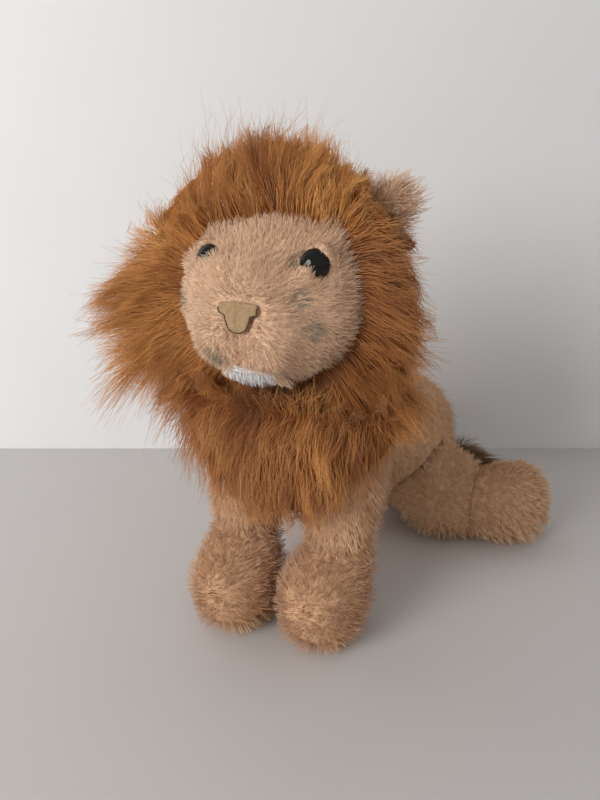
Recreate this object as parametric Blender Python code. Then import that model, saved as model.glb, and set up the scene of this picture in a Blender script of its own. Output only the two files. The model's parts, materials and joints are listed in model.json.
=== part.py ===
"""A plush lion that sits up on straight forelegs, as the sewn and stuffed pieces it is made of.

Sizes are in metres. The origin is on the floor under the middle of the rump, +Z is up, the lion
faces -Y and its left side is +X. A skin is a cloth shell as thick as its backing and its short
pile, and what it holds is a piece of its own. The long pile of the mane and of the tail's tuft is
modelled as the mass that the hair fills.
"""

import math
from collections import namedtuple

import bmesh
import bpy
import numpy as np
from mathutils import Matrix, Vector
from mathutils.bvhtree import BVHTree

# Cloth, clearances and the floor
SKIN = 0.0070  # backing and short pile
SEAM_GAP = 0.0003
JOINT_GAP = 0.0003  # round a ball that turns in its seat
FLOOR_PRESS = 0.0005  # how deep a resting form is pressed flat
OVERRUN = 0.0100  # how far a cutting form runs past what it cuts
NECK_PARTING = 0.0006  # clear height between what turns with the head and what stays

# Rump, back and neck
RUMP_HALF_WIDTH = 0.0540
RUMP_HALF_HEIGHT = 0.0585
RUMP_LENGTH = 0.0200  # from the origin back to where the rump rounds over
RUMP_ROUND = 0.0500
NECK_HEIGHT = 0.1520
NECK_REACH = 0.1380
NECK_RADIUS = 0.0340

# Pellet bag in the seat
PELLET_BAG_HALF_WIDTH = 0.0300
PELLET_BAG_HALF_LENGTH = 0.0220
PELLET_BAG_HALF_HEIGHT = 0.0220
PELLET_BAG_BACK = 0.0320  # where its middle lies, behind the origin

# Forelegs
FORELEG_SPREAD = 0.0330
FORELEG_HALF_WIDTH = 0.0250
FORELEG_HALF_DEPTH = 0.0250
FORELEG_REACH = 0.1500
FORELEG_TOP = 0.1300
SHOULDER_ROUND = 0.0160
PAW_SPREAD = 0.0272
PAW_HALF_WIDTH = 0.0266
PAW_HALF_LENGTH = 0.0320
PAW_REACH = 0.1680
PAW_HEIGHT = 0.0500
RIGHT_PAW_AHEAD = 0.0080

# Hind legs, which lie out to the sides
HIP_BALL = 0.0350
HIP_SEAT_DEPTH = 0.0320
HIP_AHEAD = 0.0160
THIGH_RADIUS = 0.0295
THIGH_LENGTH = 0.0270  # from the hip's centre to the seam at the foot
FOOT_HALF_WIDTH = 0.0290
FOOT_HALF_HEIGHT = 0.0300
FOOT_LENGTH = 0.0290  # from that seam to where the toe end rounds over
FOOT_ROUND = 0.0220
FOOT_DRIFT = 0.0180  # how far the foot trails behind the hip

# Tail
TAIL_BALL = 0.0120
TAIL_SEAT_DEPTH = 0.0060
TAIL_RADIUS = 0.0105
TAIL_SWEEP = 0.0400  # sideways, to where the tuft begins
TAIL_BACK = 0.0240  # how far its bend stands behind its root
TAIL_SKIN = 0.0040
TUFT_LENGTH = 0.0400
TUFT_HALF_WIDTH = 0.0200
TUFT_HALF_HEIGHT = 0.0210
TUFT_ROUND = 0.0140
TUFT_LAP = 0.0090  # how far the tuft wraps the end of the tail

# Head
HEAD_HALF_WIDTH = 0.0510
HEAD_HALF_HEIGHT = 0.0445
HEAD_CENTRE_HEIGHT = 0.2005
HEAD_BACK_REACH = 0.1320
HEAD_LENGTH = 0.0710
HEAD_BACK_ROUND = 0.0240
MUZZLE_ROUND = 0.0090
FACE_SEAM_REACH = 0.1600

# Mane
HOOD_HALF_WIDTH = 0.0940
HOOD_HALF_HEIGHT = 0.0900
HOOD_CENTRE_HEIGHT = 0.1900
HOOD_LEAN = 0.0080  # how far the hair is brushed over to the right
HOOD_LENGTH = 0.0700
HOOD_BACK_REACH = 0.1060
HOOD_BACK_ROUND = 0.0220
HOOD_FRONT_ROUND = 0.0080
BIB_HALF_WIDTH = 0.0770
BIB_HALF_DEPTH = 0.0560
BIB_DROP = 0.0720
BIB_REACH = 0.1480
BIB_ADVANCE = 0.0300
BIB_TIP_ROUND = 0.0060

# Ears
EAR_LENGTH = 0.0310
EAR_HALF_WIDTH = 0.0160
EAR_HALF_THICKNESS = 0.0050
EAR_TIP_ROUND = 0.0080
EAR_REACH = 0.1480
EAR_ANGLE = math.radians(40.0)  # up from level, seen from the front

# Eyes, nose and chin
EYE_RADIUS = 0.0072
EYE_DOME = 0.0056
EYE_RIM = 0.0010
EYE_SPREAD = 0.0310
EYE_HEIGHT = 0.2190
EYE_SEAT = 0.0035  # how far its back lies under the pile
EYE_OUTWARD = math.radians(24.0)
EYE_UPWARD = math.radians(14.0)
SHANK_RADIUS = 0.0022
SHANK_END = 0.0035  # how far the shank stands past its washer
WASHER_RADIUS = 0.0062
WASHER_THICKNESS = 0.0015
WASHER_SEAT = 0.0012  # the washer's clearance behind the curved cloth
NOSE_HALF_WIDTH = 0.0112
NOSE_HEIGHT = 0.0150
NOSE_TOP = 0.2010
NOSE_THICKNESS = 0.0018
NOSE_SUNK = 0.0010
CHIN_HALF_WIDTH = 0.0210
CHIN_HALF_LENGTH = 0.0150
CHIN_HALF_HEIGHT = 0.0100
CHIN_REACH = 0.1960
CHIN_HEIGHT = 0.1610

# Finish of the sections
SOFT_ROUNDNESS = 2.25  # exponent of a section's outline; 2 is an ellipse
TRUE_ROUNDNESS = 2.0
SKIN_SIDES = 16
CORE_SIDES = 12
MANE_SIDES = 20
TAIL_SIDES = 10
TURNED_SIDES = 20
STEPS = 2  # rings from one station to the next
END_RINGS = 3

# Shares along each form. Each row is one station.
# Torso: reach of the neck's, height of the neck's, width and depth of the rump's, tilt of a quarter turn
TORSO_SHARES = (
    (0.20, 0.500, 0.95, 0.80, 0.18),
    (0.38, 0.610, 0.88, 0.61, 0.28),
    (0.60, 0.700, 0.82, 0.58, 0.40),
    (0.82, 0.775, 0.78, 0.64, 0.56),
    (0.95, 0.870, 0.72, 0.62, 0.78),
)
# Foreleg above the paw: height of its top's, place from paw to shoulder, width and depth of the leg's
FORELEG_SHARES = (
    (0.41, 0.55, 0.88, 0.90),
    (0.62, 0.80, 0.94, 0.94),
    (0.82, 0.95, 1.00, 1.00),
    (1.00, 1.00, 1.00, 1.04),
)
# Paw: height, width and length of the paw's, and place from paw to shoulder
PAW_SHARES = (
    (0.46, 1.00, 1.00, 0.00),
    (0.78, 0.97, 0.92, 0.08),
)
# Head: place along its length, rise and half height of its half height, half width of its own
HEAD_SHARES = (
    (0.00, 0.00, 0.94, 0.84),
    (0.38, 0.00, 1.00, 1.00),
    (0.66, -0.06, 0.93, 0.97),
    (0.86, -0.20, 0.76, 0.82),
    (1.00, -0.26, 0.58, 0.60),
)
# Hood: place along its length, half width and half height of its own
HOOD_SHARES = (
    (0.00, 0.56, 0.66),
    (0.30, 0.72, 0.86),
    (0.66, 0.90, 0.98),
    (0.88, 1.00, 1.00),
    (1.00, 0.93, 0.88),
)
# Bib: drop, half width and half depth of its own, and place from top to tip
BIB_SHARES = (
    (0.00, 1.00, 1.00, 0.00),
    (0.26, 0.92, 0.84, 0.22),
    (0.56, 0.76, 0.58, 0.62),
    (0.82, 0.52, 0.36, 0.90),
    (1.00, 0.30, 0.20, 1.00),
)
# Tail: sideways share of its sweep, back share of its bend
TAIL_SHARES = (
    (0.00, 0.00),
    (0.05, 0.55),
    (0.30, 0.95),
    (0.65, 1.00),
    (1.00, 0.72),
)
# Tuft: place along its length, half width and half height of its own
TUFT_SHARES = (
    (0.00, 0.66, 0.70),
    (0.35, 1.00, 1.00),
    (1.00, 0.74, 0.72),
)
# Nose: across its half width, down its height; the right half, from the middle of the top
NOSE_SHARES = (
    (0.00, 0.00),
    (0.92, 0.02),
    (1.00, 0.18),
    (0.96, 0.36),
    (0.66, 0.44),
    (0.58, 0.66),
    (0.44, 0.88),
    (0.20, 0.98),
    (0.00, 1.00),
)
# Ear: place from root to tip, half width of its own
EAR_SHARES = (
    (0.00, 0.80),
    (0.50, 1.00),
    (1.00, 0.80),
)
HIP_WALL_SHARE = 0.915  # the rump's half width at the height of the hip
TAIL_WALL_SHARE = 0.700  # how far back the rump's round reaches at the tail
TUFT_TURN_SHARES = (0.95, -0.30)  # which way the tuft points, to the left and back
EAR_ROOT_SHARE = 0.80  # where the ear starts, of the head's half width
DOME_SHARES = ((0.96, 0.30), (0.82, 0.60), (0.55, 0.86), (0.28, 0.97))

Form = namedtuple("Form", "stations start_round end_round roundness", defaults=[SOFT_ROUNDNESS])
SIDES = (("left", 1.0), ("right", -1.0))
FRONT = Vector((0, -1, 0))
UP = Vector((0, 0, 1))


def clear_scene():
    for old in list(bpy.data.objects):
        bpy.data.objects.remove(old)


def material(name, colour, roughness):
    finish = bpy.data.materials.new(name)
    finish.use_nodes = True
    shader = finish.node_tree.nodes["Principled BSDF"]
    shader.inputs["Base Color"].default_value = (*colour, 1.0)
    shader.inputs["Roughness"].default_value = roughness
    finish.diffuse_color = (*colour, 1.0)
    return finish


def station(centre, across, upward):
    """One section of a form: its middle and its two half axes."""
    return np.array([*centre, *across, *upward], float)


def smoothed(stations, steps):
    """More stations on a smooth run through the given ones."""
    given = np.array(stations)
    padded = np.vstack([2 * given[0] - given[1], given, 2 * given[-1] - given[-2]])
    run = []
    for before, here, after, beyond in zip(padded, padded[1:], padded[2:], padded[3:]):
        for t in np.arange(steps) / steps:
            bend = (2 * before - 5 * here + 4 * after - beyond) * t**2
            twist = (3 * here - before - 3 * after + beyond) * t**3
            run.append(here + 0.5 * ((after - before) * t + bend + twist))
    run.append(given[-1])
    return run


def grown(row, by):
    """A station with both half axes longer by this much."""
    axes = [row[3:6] * (1 + by / np.linalg.norm(row[3:6]))]
    axes.append(row[6:9] * (1 + by / np.linalg.norm(row[6:9])))
    return np.concatenate([row[:3], *axes])


def heading(row):
    along = np.cross(row[3:6], row[6:9])
    return along / np.linalg.norm(along)


def ring_points(row, sides, roundness, scale=1.0, shift=0.0):
    """The outline of a section, drawn in by scale and moved along the form by shift."""
    turn = 2 * math.pi * np.arange(sides) / sides
    across = np.sign(np.cos(turn)) * np.abs(np.cos(turn)) ** (2 / roundness)
    upward = np.sign(np.sin(turn)) * np.abs(np.sin(turn)) ** (2 / roundness)
    spread = np.outer(across, row[3:6]) + np.outer(upward, row[6:9])
    return row[:3] + heading(row) * shift + spread * scale


def end_rings(row, sides, roundness, length, way):
    """Rings that round an end over, and the point that closes it."""
    rings = []
    for k in range(1, END_RINGS):
        angle = 0.5 * math.pi * k / END_RINGS
        out = math.sin(angle) ** (2 / roundness)
        drawn_in = math.cos(angle) ** (2 / roundness)
        rings.append(ring_points(row, sides, roundness, drawn_in, way * out * length))
    return rings, row[:3] + heading(row) * way * length


def soft_mesh(form, sides, grow=0.0, end_past=0.0):
    """A closed mesh of a form, grown all round; its flat end may run past its place."""
    rows = [grown(row, grow) for row in smoothed(form.stations, STEPS)]
    shape = form.roundness
    rings = [ring_points(row, sides, shape) for row in rows]
    if form.start_round:
        extra, first = end_rings(rows[0], sides, shape, form.start_round + grow, -1)
        rings = extra[::-1] + rings
    else:
        first = rows[0][:3]
    if form.end_round:
        extra, last = end_rings(rows[-1], sides, shape, form.end_round + grow, 1)
        rings = rings + extra
    else:
        last = rows[-1][:3] + heading(rows[-1]) * end_past
        if end_past:
            rings.append(ring_points(rows[-1], sides, shape, shift=end_past))
    mesh = bmesh.new()
    loops = [[mesh.verts.new(point) for point in ring] for ring in rings]
    for lower, upper in zip(loops, loops[1:]):
        for k in range(sides):
            other = (k + 1) % sides
            mesh.faces.new((lower[k], lower[other], upper[other]))
            mesh.faces.new((lower[k], upper[other], upper[k]))
    for loop, tip in ((loops[0], mesh.verts.new(first)), (loops[-1], mesh.verts.new(last))):
        for k in range(sides):
            mesh.faces.new((loop[k], loop[(k + 1) % sides], tip))
    bmesh.ops.recalc_face_normals(mesh, faces=mesh.faces)
    return mesh


def turned_mesh(profile, sides):
    """A closed mesh turned about Z from (radius, height) points, from axis to axis."""
    mesh = bmesh.new()
    loops = []
    for radius, height in profile:
        if not radius:
            loops.append([mesh.verts.new((0, 0, height))])
            continue
        angles = [2 * math.pi * k / sides for k in range(sides)]
        places = [(radius * math.cos(a), radius * math.sin(a), height) for a in angles]
        loops.append([mesh.verts.new(place) for place in places])
    for lower, upper in zip(loops, loops[1:]):
        for k in range(sides):
            corners = [lower[k % len(lower)], lower[(k + 1) % len(lower)]]
            corners += [upper[(k + 1) % len(upper)], upper[k % len(upper)]]
            mesh.faces.new(list(dict.fromkeys(corners)))
    bmesh.ops.recalc_face_normals(mesh, faces=mesh.faces)
    return mesh


def ring_mesh(outer, inner, low, high, sides):
    """A flat ring about Z."""
    mesh = bmesh.new()
    loops = []
    for radius, height in ((outer, low), (outer, high), (inner, high), (inner, low)):
        angles = [2 * math.pi * k / sides for k in range(sides)]
        places = [(radius * math.cos(a), radius * math.sin(a), height) for a in angles]
        loops.append([mesh.verts.new(place) for place in places])
    for lower, upper in zip(loops, loops[1:] + loops[:1]):
        for k in range(sides):
            other = (k + 1) % sides
            mesh.faces.new((lower[k], lower[other], upper[other], upper[k]))
    bmesh.ops.recalc_face_normals(mesh, faces=mesh.faces)
    return mesh


def ball_mesh(centre, half_sizes):
    mesh = bmesh.new()
    bmesh.ops.create_icosphere(mesh, subdivisions=2, radius=1.0)
    bmesh.ops.scale(mesh, vec=half_sizes, verts=mesh.verts)
    bmesh.ops.translate(mesh, vec=centre, verts=mesh.verts)
    return mesh


def seat_mesh(centre, ball):
    """The hollow that a ball turns in about an upright axis, its flats clear of the ball."""
    radius = (ball + JOINT_GAP) / math.cos(math.pi / TURNED_SIDES) ** 2
    angles = [math.pi * k / (TURNED_SIDES // 2) for k in range(1, TURNED_SIDES // 2)]
    profile = [(radius * math.sin(a), -radius * math.cos(a)) for a in angles]
    mesh = turned_mesh([(0, -radius), *profile, (0, radius)], TURNED_SIDES)
    bmesh.ops.translate(mesh, vec=centre, verts=mesh.verts)
    return mesh


def trimmed(mesh, point, away):
    """The mesh with what lies beyond a plane taken off and the cut closed."""
    everything = list(mesh.verts) + list(mesh.edges) + list(mesh.faces)
    bmesh.ops.bisect_plane(
        mesh, geom=everything, plane_co=point, plane_no=away, clear_outer=True
    )
    rim = [edge for edge in mesh.edges if edge.is_boundary]
    bmesh.ops.holes_fill(mesh, edges=rim, sides=0)
    bmesh.ops.recalc_face_normals(mesh, faces=mesh.faces)
    return mesh


def on_floor(mesh, height=0.0):
    return trimmed(mesh, Vector((0, 0, height)), -UP)


def place(name, mesh, finish=None):
    """An object made from a mesh: a piece if it has a finish, or else a helper."""
    data = bpy.data.meshes.new(name)
    mesh.to_mesh(data)
    mesh.free()
    piece = bpy.data.objects.new(name, data)
    bpy.context.scene.collection.objects.link(piece)
    if finish is None:
        piece.hide_render = True
        piece.display_type = "WIRE"
        return piece
    data.materials.append(finish)
    data.shade_smooth()
    return piece


def boolean(piece, other, operation="DIFFERENCE"):
    step = piece.modifiers.new(other.name, "BOOLEAN")
    step.operation = operation
    step.object = other
    return piece


def cut(piece, *others):
    for other in others:
        boolean(piece, other)
    return piece


def hollowed(name, form, finish, floor=False, **past):
    """A cloth skin of a form, open where the form's flat end runs on."""
    outer = soft_mesh(form, SKIN_SIDES)
    inner = soft_mesh(form, CORE_SIDES, -SKIN, **past)
    if floor:
        outer = on_floor(outer)
        inner = on_floor(inner, SKIN)
    return cut(place(name, outer, finish), place(name + "_hollow", inner))


def filling(name, form, finish, floor=False, skin=SKIN):
    """What a skin is stuffed with."""
    core = soft_mesh(form, CORE_SIDES, -skin - SEAM_GAP)
    if floor:
        core = on_floor(core, skin + SEAM_GAP)
    return place(name, core, finish)


def torso_form():
    rump_height = RUMP_HALF_HEIGHT - FLOOR_PRESS
    across = Vector((1, 0, 0))
    rows = []
    for back in (RUMP_LENGTH, 0):
        rump = Vector((0, back, rump_height))
        rows.append(station(rump, across * RUMP_HALF_WIDTH, UP * RUMP_HALF_HEIGHT))
    for reach, height, width, depth, tilt in TORSO_SHARES:
        angle = tilt * 0.5 * math.pi
        centre = Vector((0, -reach * NECK_REACH, height * NECK_HEIGHT))
        upward = Vector((0, math.sin(angle), math.cos(angle)))
        half_width = across * width * RUMP_HALF_WIDTH
        rows.append(station(centre, half_width, upward * depth * RUMP_HALF_HEIGHT))
    neck = Vector((0, -NECK_REACH, NECK_HEIGHT - NECK_PARTING / 2))
    rows.append(station(neck, across * NECK_RADIUS, Vector((0, NECK_RADIUS, 0))))
    return Form(rows, RUMP_ROUND, 0.0)


def foreleg_form(side):
    ahead = RIGHT_PAW_AHEAD if side < 0 else 0.0
    paw = Vector((side * PAW_SPREAD, -PAW_REACH - ahead, 0))
    shoulder = Vector((side * FORELEG_SPREAD, -FORELEG_REACH, 0))
    rows = []
    for height, width, length, along in PAW_SHARES:
        centre = paw.lerp(shoulder, along) + UP * height * PAW_HEIGHT
        across = Vector((width * PAW_HALF_WIDTH, 0, 0))
        rows.append(station(centre, across, Vector((0, length * PAW_HALF_LENGTH, 0))))
    for height, along, width, depth in FORELEG_SHARES:
        centre = paw.lerp(shoulder, along) + UP * height * FORELEG_TOP
        across = Vector((width * FORELEG_HALF_WIDTH, 0, 0))
        rows.append(station(centre, across, Vector((0, depth * FORELEG_HALF_DEPTH, 0))))
    sole = PAW_SHARES[0][0] * PAW_HEIGHT + FLOOR_PRESS
    return Form(rows, sole, SHOULDER_ROUND)


def hip_centre(side):
    wall = HIP_WALL_SHARE * RUMP_HALF_WIDTH
    out = wall + HIP_BALL - HIP_SEAT_DEPTH
    return Vector((side * out, -HIP_AHEAD, HIP_BALL - FLOOR_PRESS))


def leg_station(side, out, back, half_width, half_height):
    """A section across a hind leg, resting on the floor."""
    hip = hip_centre(side)
    centre = Vector((hip.x + side * out, hip.y + back, half_height - FLOOR_PRESS))
    return station(centre, Vector((0, side * half_width, 0)), UP * half_height)


def hind_leg_form(side):
    """The whole leg, from the ball at its hip to the toe."""
    length = THIGH_LENGTH + FOOT_LENGTH
    seam_drift = FOOT_DRIFT * THIGH_LENGTH / length
    half_way = THIGH_LENGTH + FOOT_LENGTH / 2
    rows = [
        leg_station(side, 0, 0, HIP_BALL, HIP_BALL),
        leg_station(side, THIGH_LENGTH, seam_drift, THIGH_RADIUS, THIGH_RADIUS),
        leg_station(
            side,
            half_way,
            (seam_drift + FOOT_DRIFT) / 2,
            (THIGH_RADIUS + FOOT_HALF_WIDTH) / 2,
            (THIGH_RADIUS + FOOT_HALF_HEIGHT) / 2,
        ),
        leg_station(side, length, FOOT_DRIFT, FOOT_HALF_WIDTH, FOOT_HALF_HEIGHT),
    ]
    return Form(rows, HIP_BALL, FOOT_ROUND, TRUE_ROUNDNESS)


def tail_root():
    back = RUMP_LENGTH + TAIL_WALL_SHARE * RUMP_ROUND
    return Vector((0, back + TAIL_BALL - TAIL_SEAT_DEPTH, TAIL_BALL - FLOOR_PRESS))


def tail_form():
    root = tail_root()
    places = [
        Vector((root.x + out * TAIL_SWEEP, root.y + back * TAIL_BACK, 0))
        for out, back in TAIL_SHARES
    ]
    rows = []
    for k, here in enumerate(places):
        radius = TAIL_RADIUS if k else TAIL_BALL
        before = places[max(k - 1, 0)]
        after = places[min(k + 1, len(places) - 1)]
        along = (after - before).normalized()
        if not k:
            along = Vector((0, 1, 0))
        centre = here + UP * (radius - FLOOR_PRESS)
        rows.append(station(centre, along.cross(UP) * -radius, UP * radius))
    return Form(rows, TAIL_BALL, 0.0, TRUE_ROUNDNESS)


def tuft_form():
    tail_end = Vector(tail_form().stations[-1][:3])
    along = Vector((*TUFT_TURN_SHARES, 0)).normalized()
    start = tail_end - along * TUFT_LAP
    rows = []
    for place_share, width, height in TUFT_SHARES:
        half_height = height * TUFT_HALF_HEIGHT
        centre = start + along * place_share * TUFT_LENGTH
        centre.z = half_height - FLOOR_PRESS
        across = UP.cross(along) * width * TUFT_HALF_WIDTH
        rows.append(station(centre, across, UP * half_height))
    return Form(rows, TUFT_LAP / 2, TUFT_ROUND)


def head_form():
    rows = []
    for along, rise, height, width in HEAD_SHARES:
        centre = Vector((0, -HEAD_BACK_REACH - along * HEAD_LENGTH, 0))
        centre.z = HEAD_CENTRE_HEIGHT + rise * HEAD_HALF_HEIGHT
        across = Vector((width * HEAD_HALF_WIDTH, 0, 0))
        rows.append(station(centre, across, UP * height * HEAD_HALF_HEIGHT))
    return Form(rows, HEAD_BACK_ROUND, MUZZLE_ROUND)


def hood_form():
    rows = []
    for along, width, height in HOOD_SHARES:
        centre = Vector((-along * HOOD_LEAN, 0, HOOD_CENTRE_HEIGHT))
        centre.y = -HOOD_BACK_REACH - along * HOOD_LENGTH
        across = Vector((width * HOOD_HALF_WIDTH, 0, 0))
        rows.append(station(centre, across, UP * height * HOOD_HALF_HEIGHT))
    return Form(rows, HOOD_BACK_ROUND, HOOD_FRONT_ROUND, TRUE_ROUNDNESS)


def bib_form():
    top = NECK_HEIGHT - NECK_PARTING / 2
    rows = []
    for drop, width, depth, along in BIB_SHARES:
        centre = Vector((0, -BIB_REACH - along * BIB_ADVANCE, top - drop * BIB_DROP))
        across = Vector((-width * BIB_HALF_WIDTH, 0, 0))
        rows.append(station(centre, across, Vector((0, depth * BIB_HALF_DEPTH, 0))))
    return Form(rows, 0.0, BIB_TIP_ROUND)


def ear_form(side):
    outward = Vector((side * math.cos(EAR_ANGLE), 0, math.sin(EAR_ANGLE)))
    across = Vector((-side * math.sin(EAR_ANGLE), 0, math.cos(EAR_ANGLE)))
    middle = Vector((0, -EAR_REACH, HEAD_CENTRE_HEIGHT))
    root = middle + outward * (HEAD_HALF_WIDTH * EAR_ROOT_SHARE)
    rows = []
    thick = Vector((0, -side * EAR_HALF_THICKNESS, 0))
    for along, width in EAR_SHARES:
        centre = root + outward * along * EAR_LENGTH
        rows.append(station(centre, across * width * EAR_HALF_WIDTH, thick))
    return Form(rows, 0.0, EAR_TIP_ROUND)


def build_torso(finishes, hips, tail_seat, form):
    skin = hollowed("torso_skin", form, finishes["plush"], floor=True, end_past=OVERRUN)
    stuffing = filling("torso_stuffing", form, finishes["fibre"], floor=True)
    cut(skin, *hips, tail_seat)
    cut(stuffing, *hips, tail_seat)
    bag_centre = Vector((0, PELLET_BAG_BACK, SKIN + PELLET_BAG_HALF_HEIGHT / 2))
    half = Vector((PELLET_BAG_HALF_WIDTH, PELLET_BAG_HALF_LENGTH, PELLET_BAG_HALF_HEIGHT))
    bag = place("seat_pellet_bag", ball_mesh(bag_centre, half), finishes["pellets"])
    clear = Vector((SEAM_GAP, SEAM_GAP, SEAM_GAP))
    cut(stuffing, place("pellet_bag_space", ball_mesh(bag_centre, half + clear)))
    inside = on_floor(soft_mesh(form, CORE_SIDES, -SKIN - SEAM_GAP), SKIN + SEAM_GAP)
    boolean(bag, place("pellet_bag_limit", inside), "INTERSECT")
    cut(bag, *hips, tail_seat)


def build_forelegs(finishes, torso_space):
    """Returns the space that each foreleg takes, for what lies over it."""
    spaces = []
    for name, side in SIDES:
        form = foreleg_form(side)
        skin = hollowed("foreleg_skin_" + name, form, finishes["plush"], floor=True)
        stuffing = filling("foreleg_stuffing_" + name, form, finishes["fibre"], floor=True)
        cut(skin, torso_space)
        cut(stuffing, torso_space)
        spaces.append(place("foreleg_space_" + name, soft_mesh(form, SKIN_SIDES, SEAM_GAP)))
    return spaces


def build_hind_legs(finishes):
    """Returns the seats of the hips. One seam parts the thigh's cloth from the foot's."""
    seats = []
    for name, side in SIDES:
        form = hind_leg_form(side)
        hollow_mesh = on_floor(soft_mesh(form, CORE_SIDES, -SKIN), SKIN)
        hollow = place("hind_leg_hollow_" + name, hollow_mesh)
        out = Vector((side, 0, 0))
        seam = hip_centre(side) + out * THIGH_LENGTH
        thigh = trimmed(on_floor(soft_mesh(form, SKIN_SIDES)), seam, out)
        cut(place("thigh_skin_" + name, thigh, finishes["plush"]), hollow)
        foot = trimmed(on_floor(soft_mesh(form, SKIN_SIDES)), seam + out * SEAM_GAP, -out)
        cut(place("hind_foot_skin_" + name, foot, finishes["plush"]), hollow)
        filling("hind_leg_stuffing_" + name, form, finishes["fibre"], floor=True)
        seats.append(place("hip_seat_" + name, seat_mesh(hip_centre(side), HIP_BALL)))
    return seats


def build_tail(finishes):
    """Returns the seat of the tail's root."""
    form = tail_form()
    outer = on_floor(soft_mesh(form, TAIL_SIDES))
    inner = on_floor(soft_mesh(form, TAIL_SIDES, -TAIL_SKIN, end_past=OVERRUN), TAIL_SKIN)
    cut(place("tail_skin", outer, finishes["plush"]), place("tail_hollow", inner))
    core = soft_mesh(form, TAIL_SIDES, -TAIL_SKIN - SEAM_GAP)
    place("tail_stuffing", on_floor(core, TAIL_SKIN + SEAM_GAP), finishes["fibre"])
    tuft = place("tail_tuft", on_floor(soft_mesh(tuft_form(), CORE_SIDES)), finishes["mane"])
    cut(tuft, place("tail_space", soft_mesh(form, TAIL_SIDES, SEAM_GAP, end_past=SEAM_GAP)))
    return place("tail_seat", seat_mesh(tail_root(), TAIL_BALL))


def eye_frame(side, surface):
    """Where an eye's axis leaves the face, and the way it looks."""
    start = Vector((side * EYE_SPREAD, -HEAD_BACK_REACH - 2 * HEAD_LENGTH, EYE_HEIGHT))
    hit = surface.ray_cast(start, -FRONT)[0]
    turn = Matrix.Rotation(side * EYE_OUTWARD, 4, "Z") @ Matrix.Rotation(-EYE_UPWARD, 4, "X")
    look = turn @ FRONT
    return Matrix.Translation(hit) @ look.to_track_quat("Z", "Y").to_matrix().to_4x4()


def eye_profile():
    back = -EYE_SEAT
    washer_back = -SKIN - WASHER_SEAT - WASHER_THICKNESS
    profile = [(0, washer_back - SHANK_END), (SHANK_RADIUS, washer_back - SHANK_END)]
    profile += [(SHANK_RADIUS, back), (EYE_RADIUS, back), (EYE_RADIUS, back + EYE_RIM)]
    for radius, height in DOME_SHARES:
        profile.append((radius * EYE_RADIUS, back + EYE_RIM + height * EYE_DOME))
    return profile + [(0, back + EYE_RIM + EYE_DOME)]


def eye_space_profile():
    """The room for an eye, its shank and its washer, with clearance all round."""
    back = -EYE_SEAT - SEAM_GAP
    washer_front = -SKIN - WASHER_SEAT + SEAM_GAP
    washer_back = -SKIN - WASHER_SEAT - WASHER_THICKNESS - SEAM_GAP
    bore = SHANK_RADIUS + SEAM_GAP
    return [
        (0, washer_back - SHANK_END),
        (bore, washer_back - SHANK_END),
        (bore, washer_back),
        (WASHER_RADIUS + SEAM_GAP, washer_back),
        (WASHER_RADIUS + SEAM_GAP, washer_front),
        (bore, washer_front),
        (bore, back),
        (EYE_RADIUS + SEAM_GAP, back),
        (EYE_RADIUS + SEAM_GAP, OVERRUN),
        (0, OVERRUN),
    ]


def build_eyes(finishes, surface):
    """Returns the spaces that the eyes and their washers need."""
    spaces = []
    for name, side in SIDES:
        frame = eye_frame(side, surface)
        washer_back = -SKIN - WASHER_SEAT - WASHER_THICKNESS
        meshes = {
            "eye_" + name: turned_mesh(eye_profile(), TURNED_SIDES),
            "eye_washer_" + name: ring_mesh(
                WASHER_RADIUS,
                SHANK_RADIUS + SEAM_GAP,
                washer_back,
                washer_back + WASHER_THICKNESS,
                TURNED_SIDES,
            ),
            "eye_space_" + name: turned_mesh(eye_space_profile(), TURNED_SIDES),
        }
        for piece_name, mesh in meshes.items():
            bmesh.ops.transform(mesh, matrix=frame, verts=mesh.verts)
            finish = finishes["eye"] if "space" not in piece_name else None
            if "washer" in piece_name:
                finish = finishes["washer"]
            made = place(piece_name, mesh, finish)
        spaces.append(made)
    return spaces


def nose_prism(name, margin, finish=None):
    """The nose's outline, run through the muzzle from front to back."""
    half = [(x * NOSE_HALF_WIDTH, -z * NOSE_HEIGHT) for x, z in NOSE_SHARES]
    whole = half + [(-x, z) for x, z in half[-2:0:-1]]
    middle = Vector((0, -NOSE_HEIGHT / 2))
    mesh = bmesh.new()
    loops = []
    front = -HEAD_BACK_REACH - HEAD_LENGTH - MUZZLE_ROUND - OVERRUN
    for depth in (front, -HEAD_BACK_REACH - HEAD_LENGTH / 2):
        loop = []
        for x, z in whole:
            away = (Vector((x, z)) - middle).normalized() * margin
            loop.append(mesh.verts.new((x + away.x, depth, NOSE_TOP + z + away.y)))
        loops.append(loop)
    count = len(whole)
    for k in range(count):
        other = (k + 1) % count
        mesh.faces.new((loops[0][k], loops[0][other], loops[1][other], loops[1][k]))
    mesh.faces.new(loops[0])
    mesh.faces.new(loops[1])
    bmesh.ops.recalc_face_normals(mesh, faces=mesh.faces)
    return place(name, mesh, finish)


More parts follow.
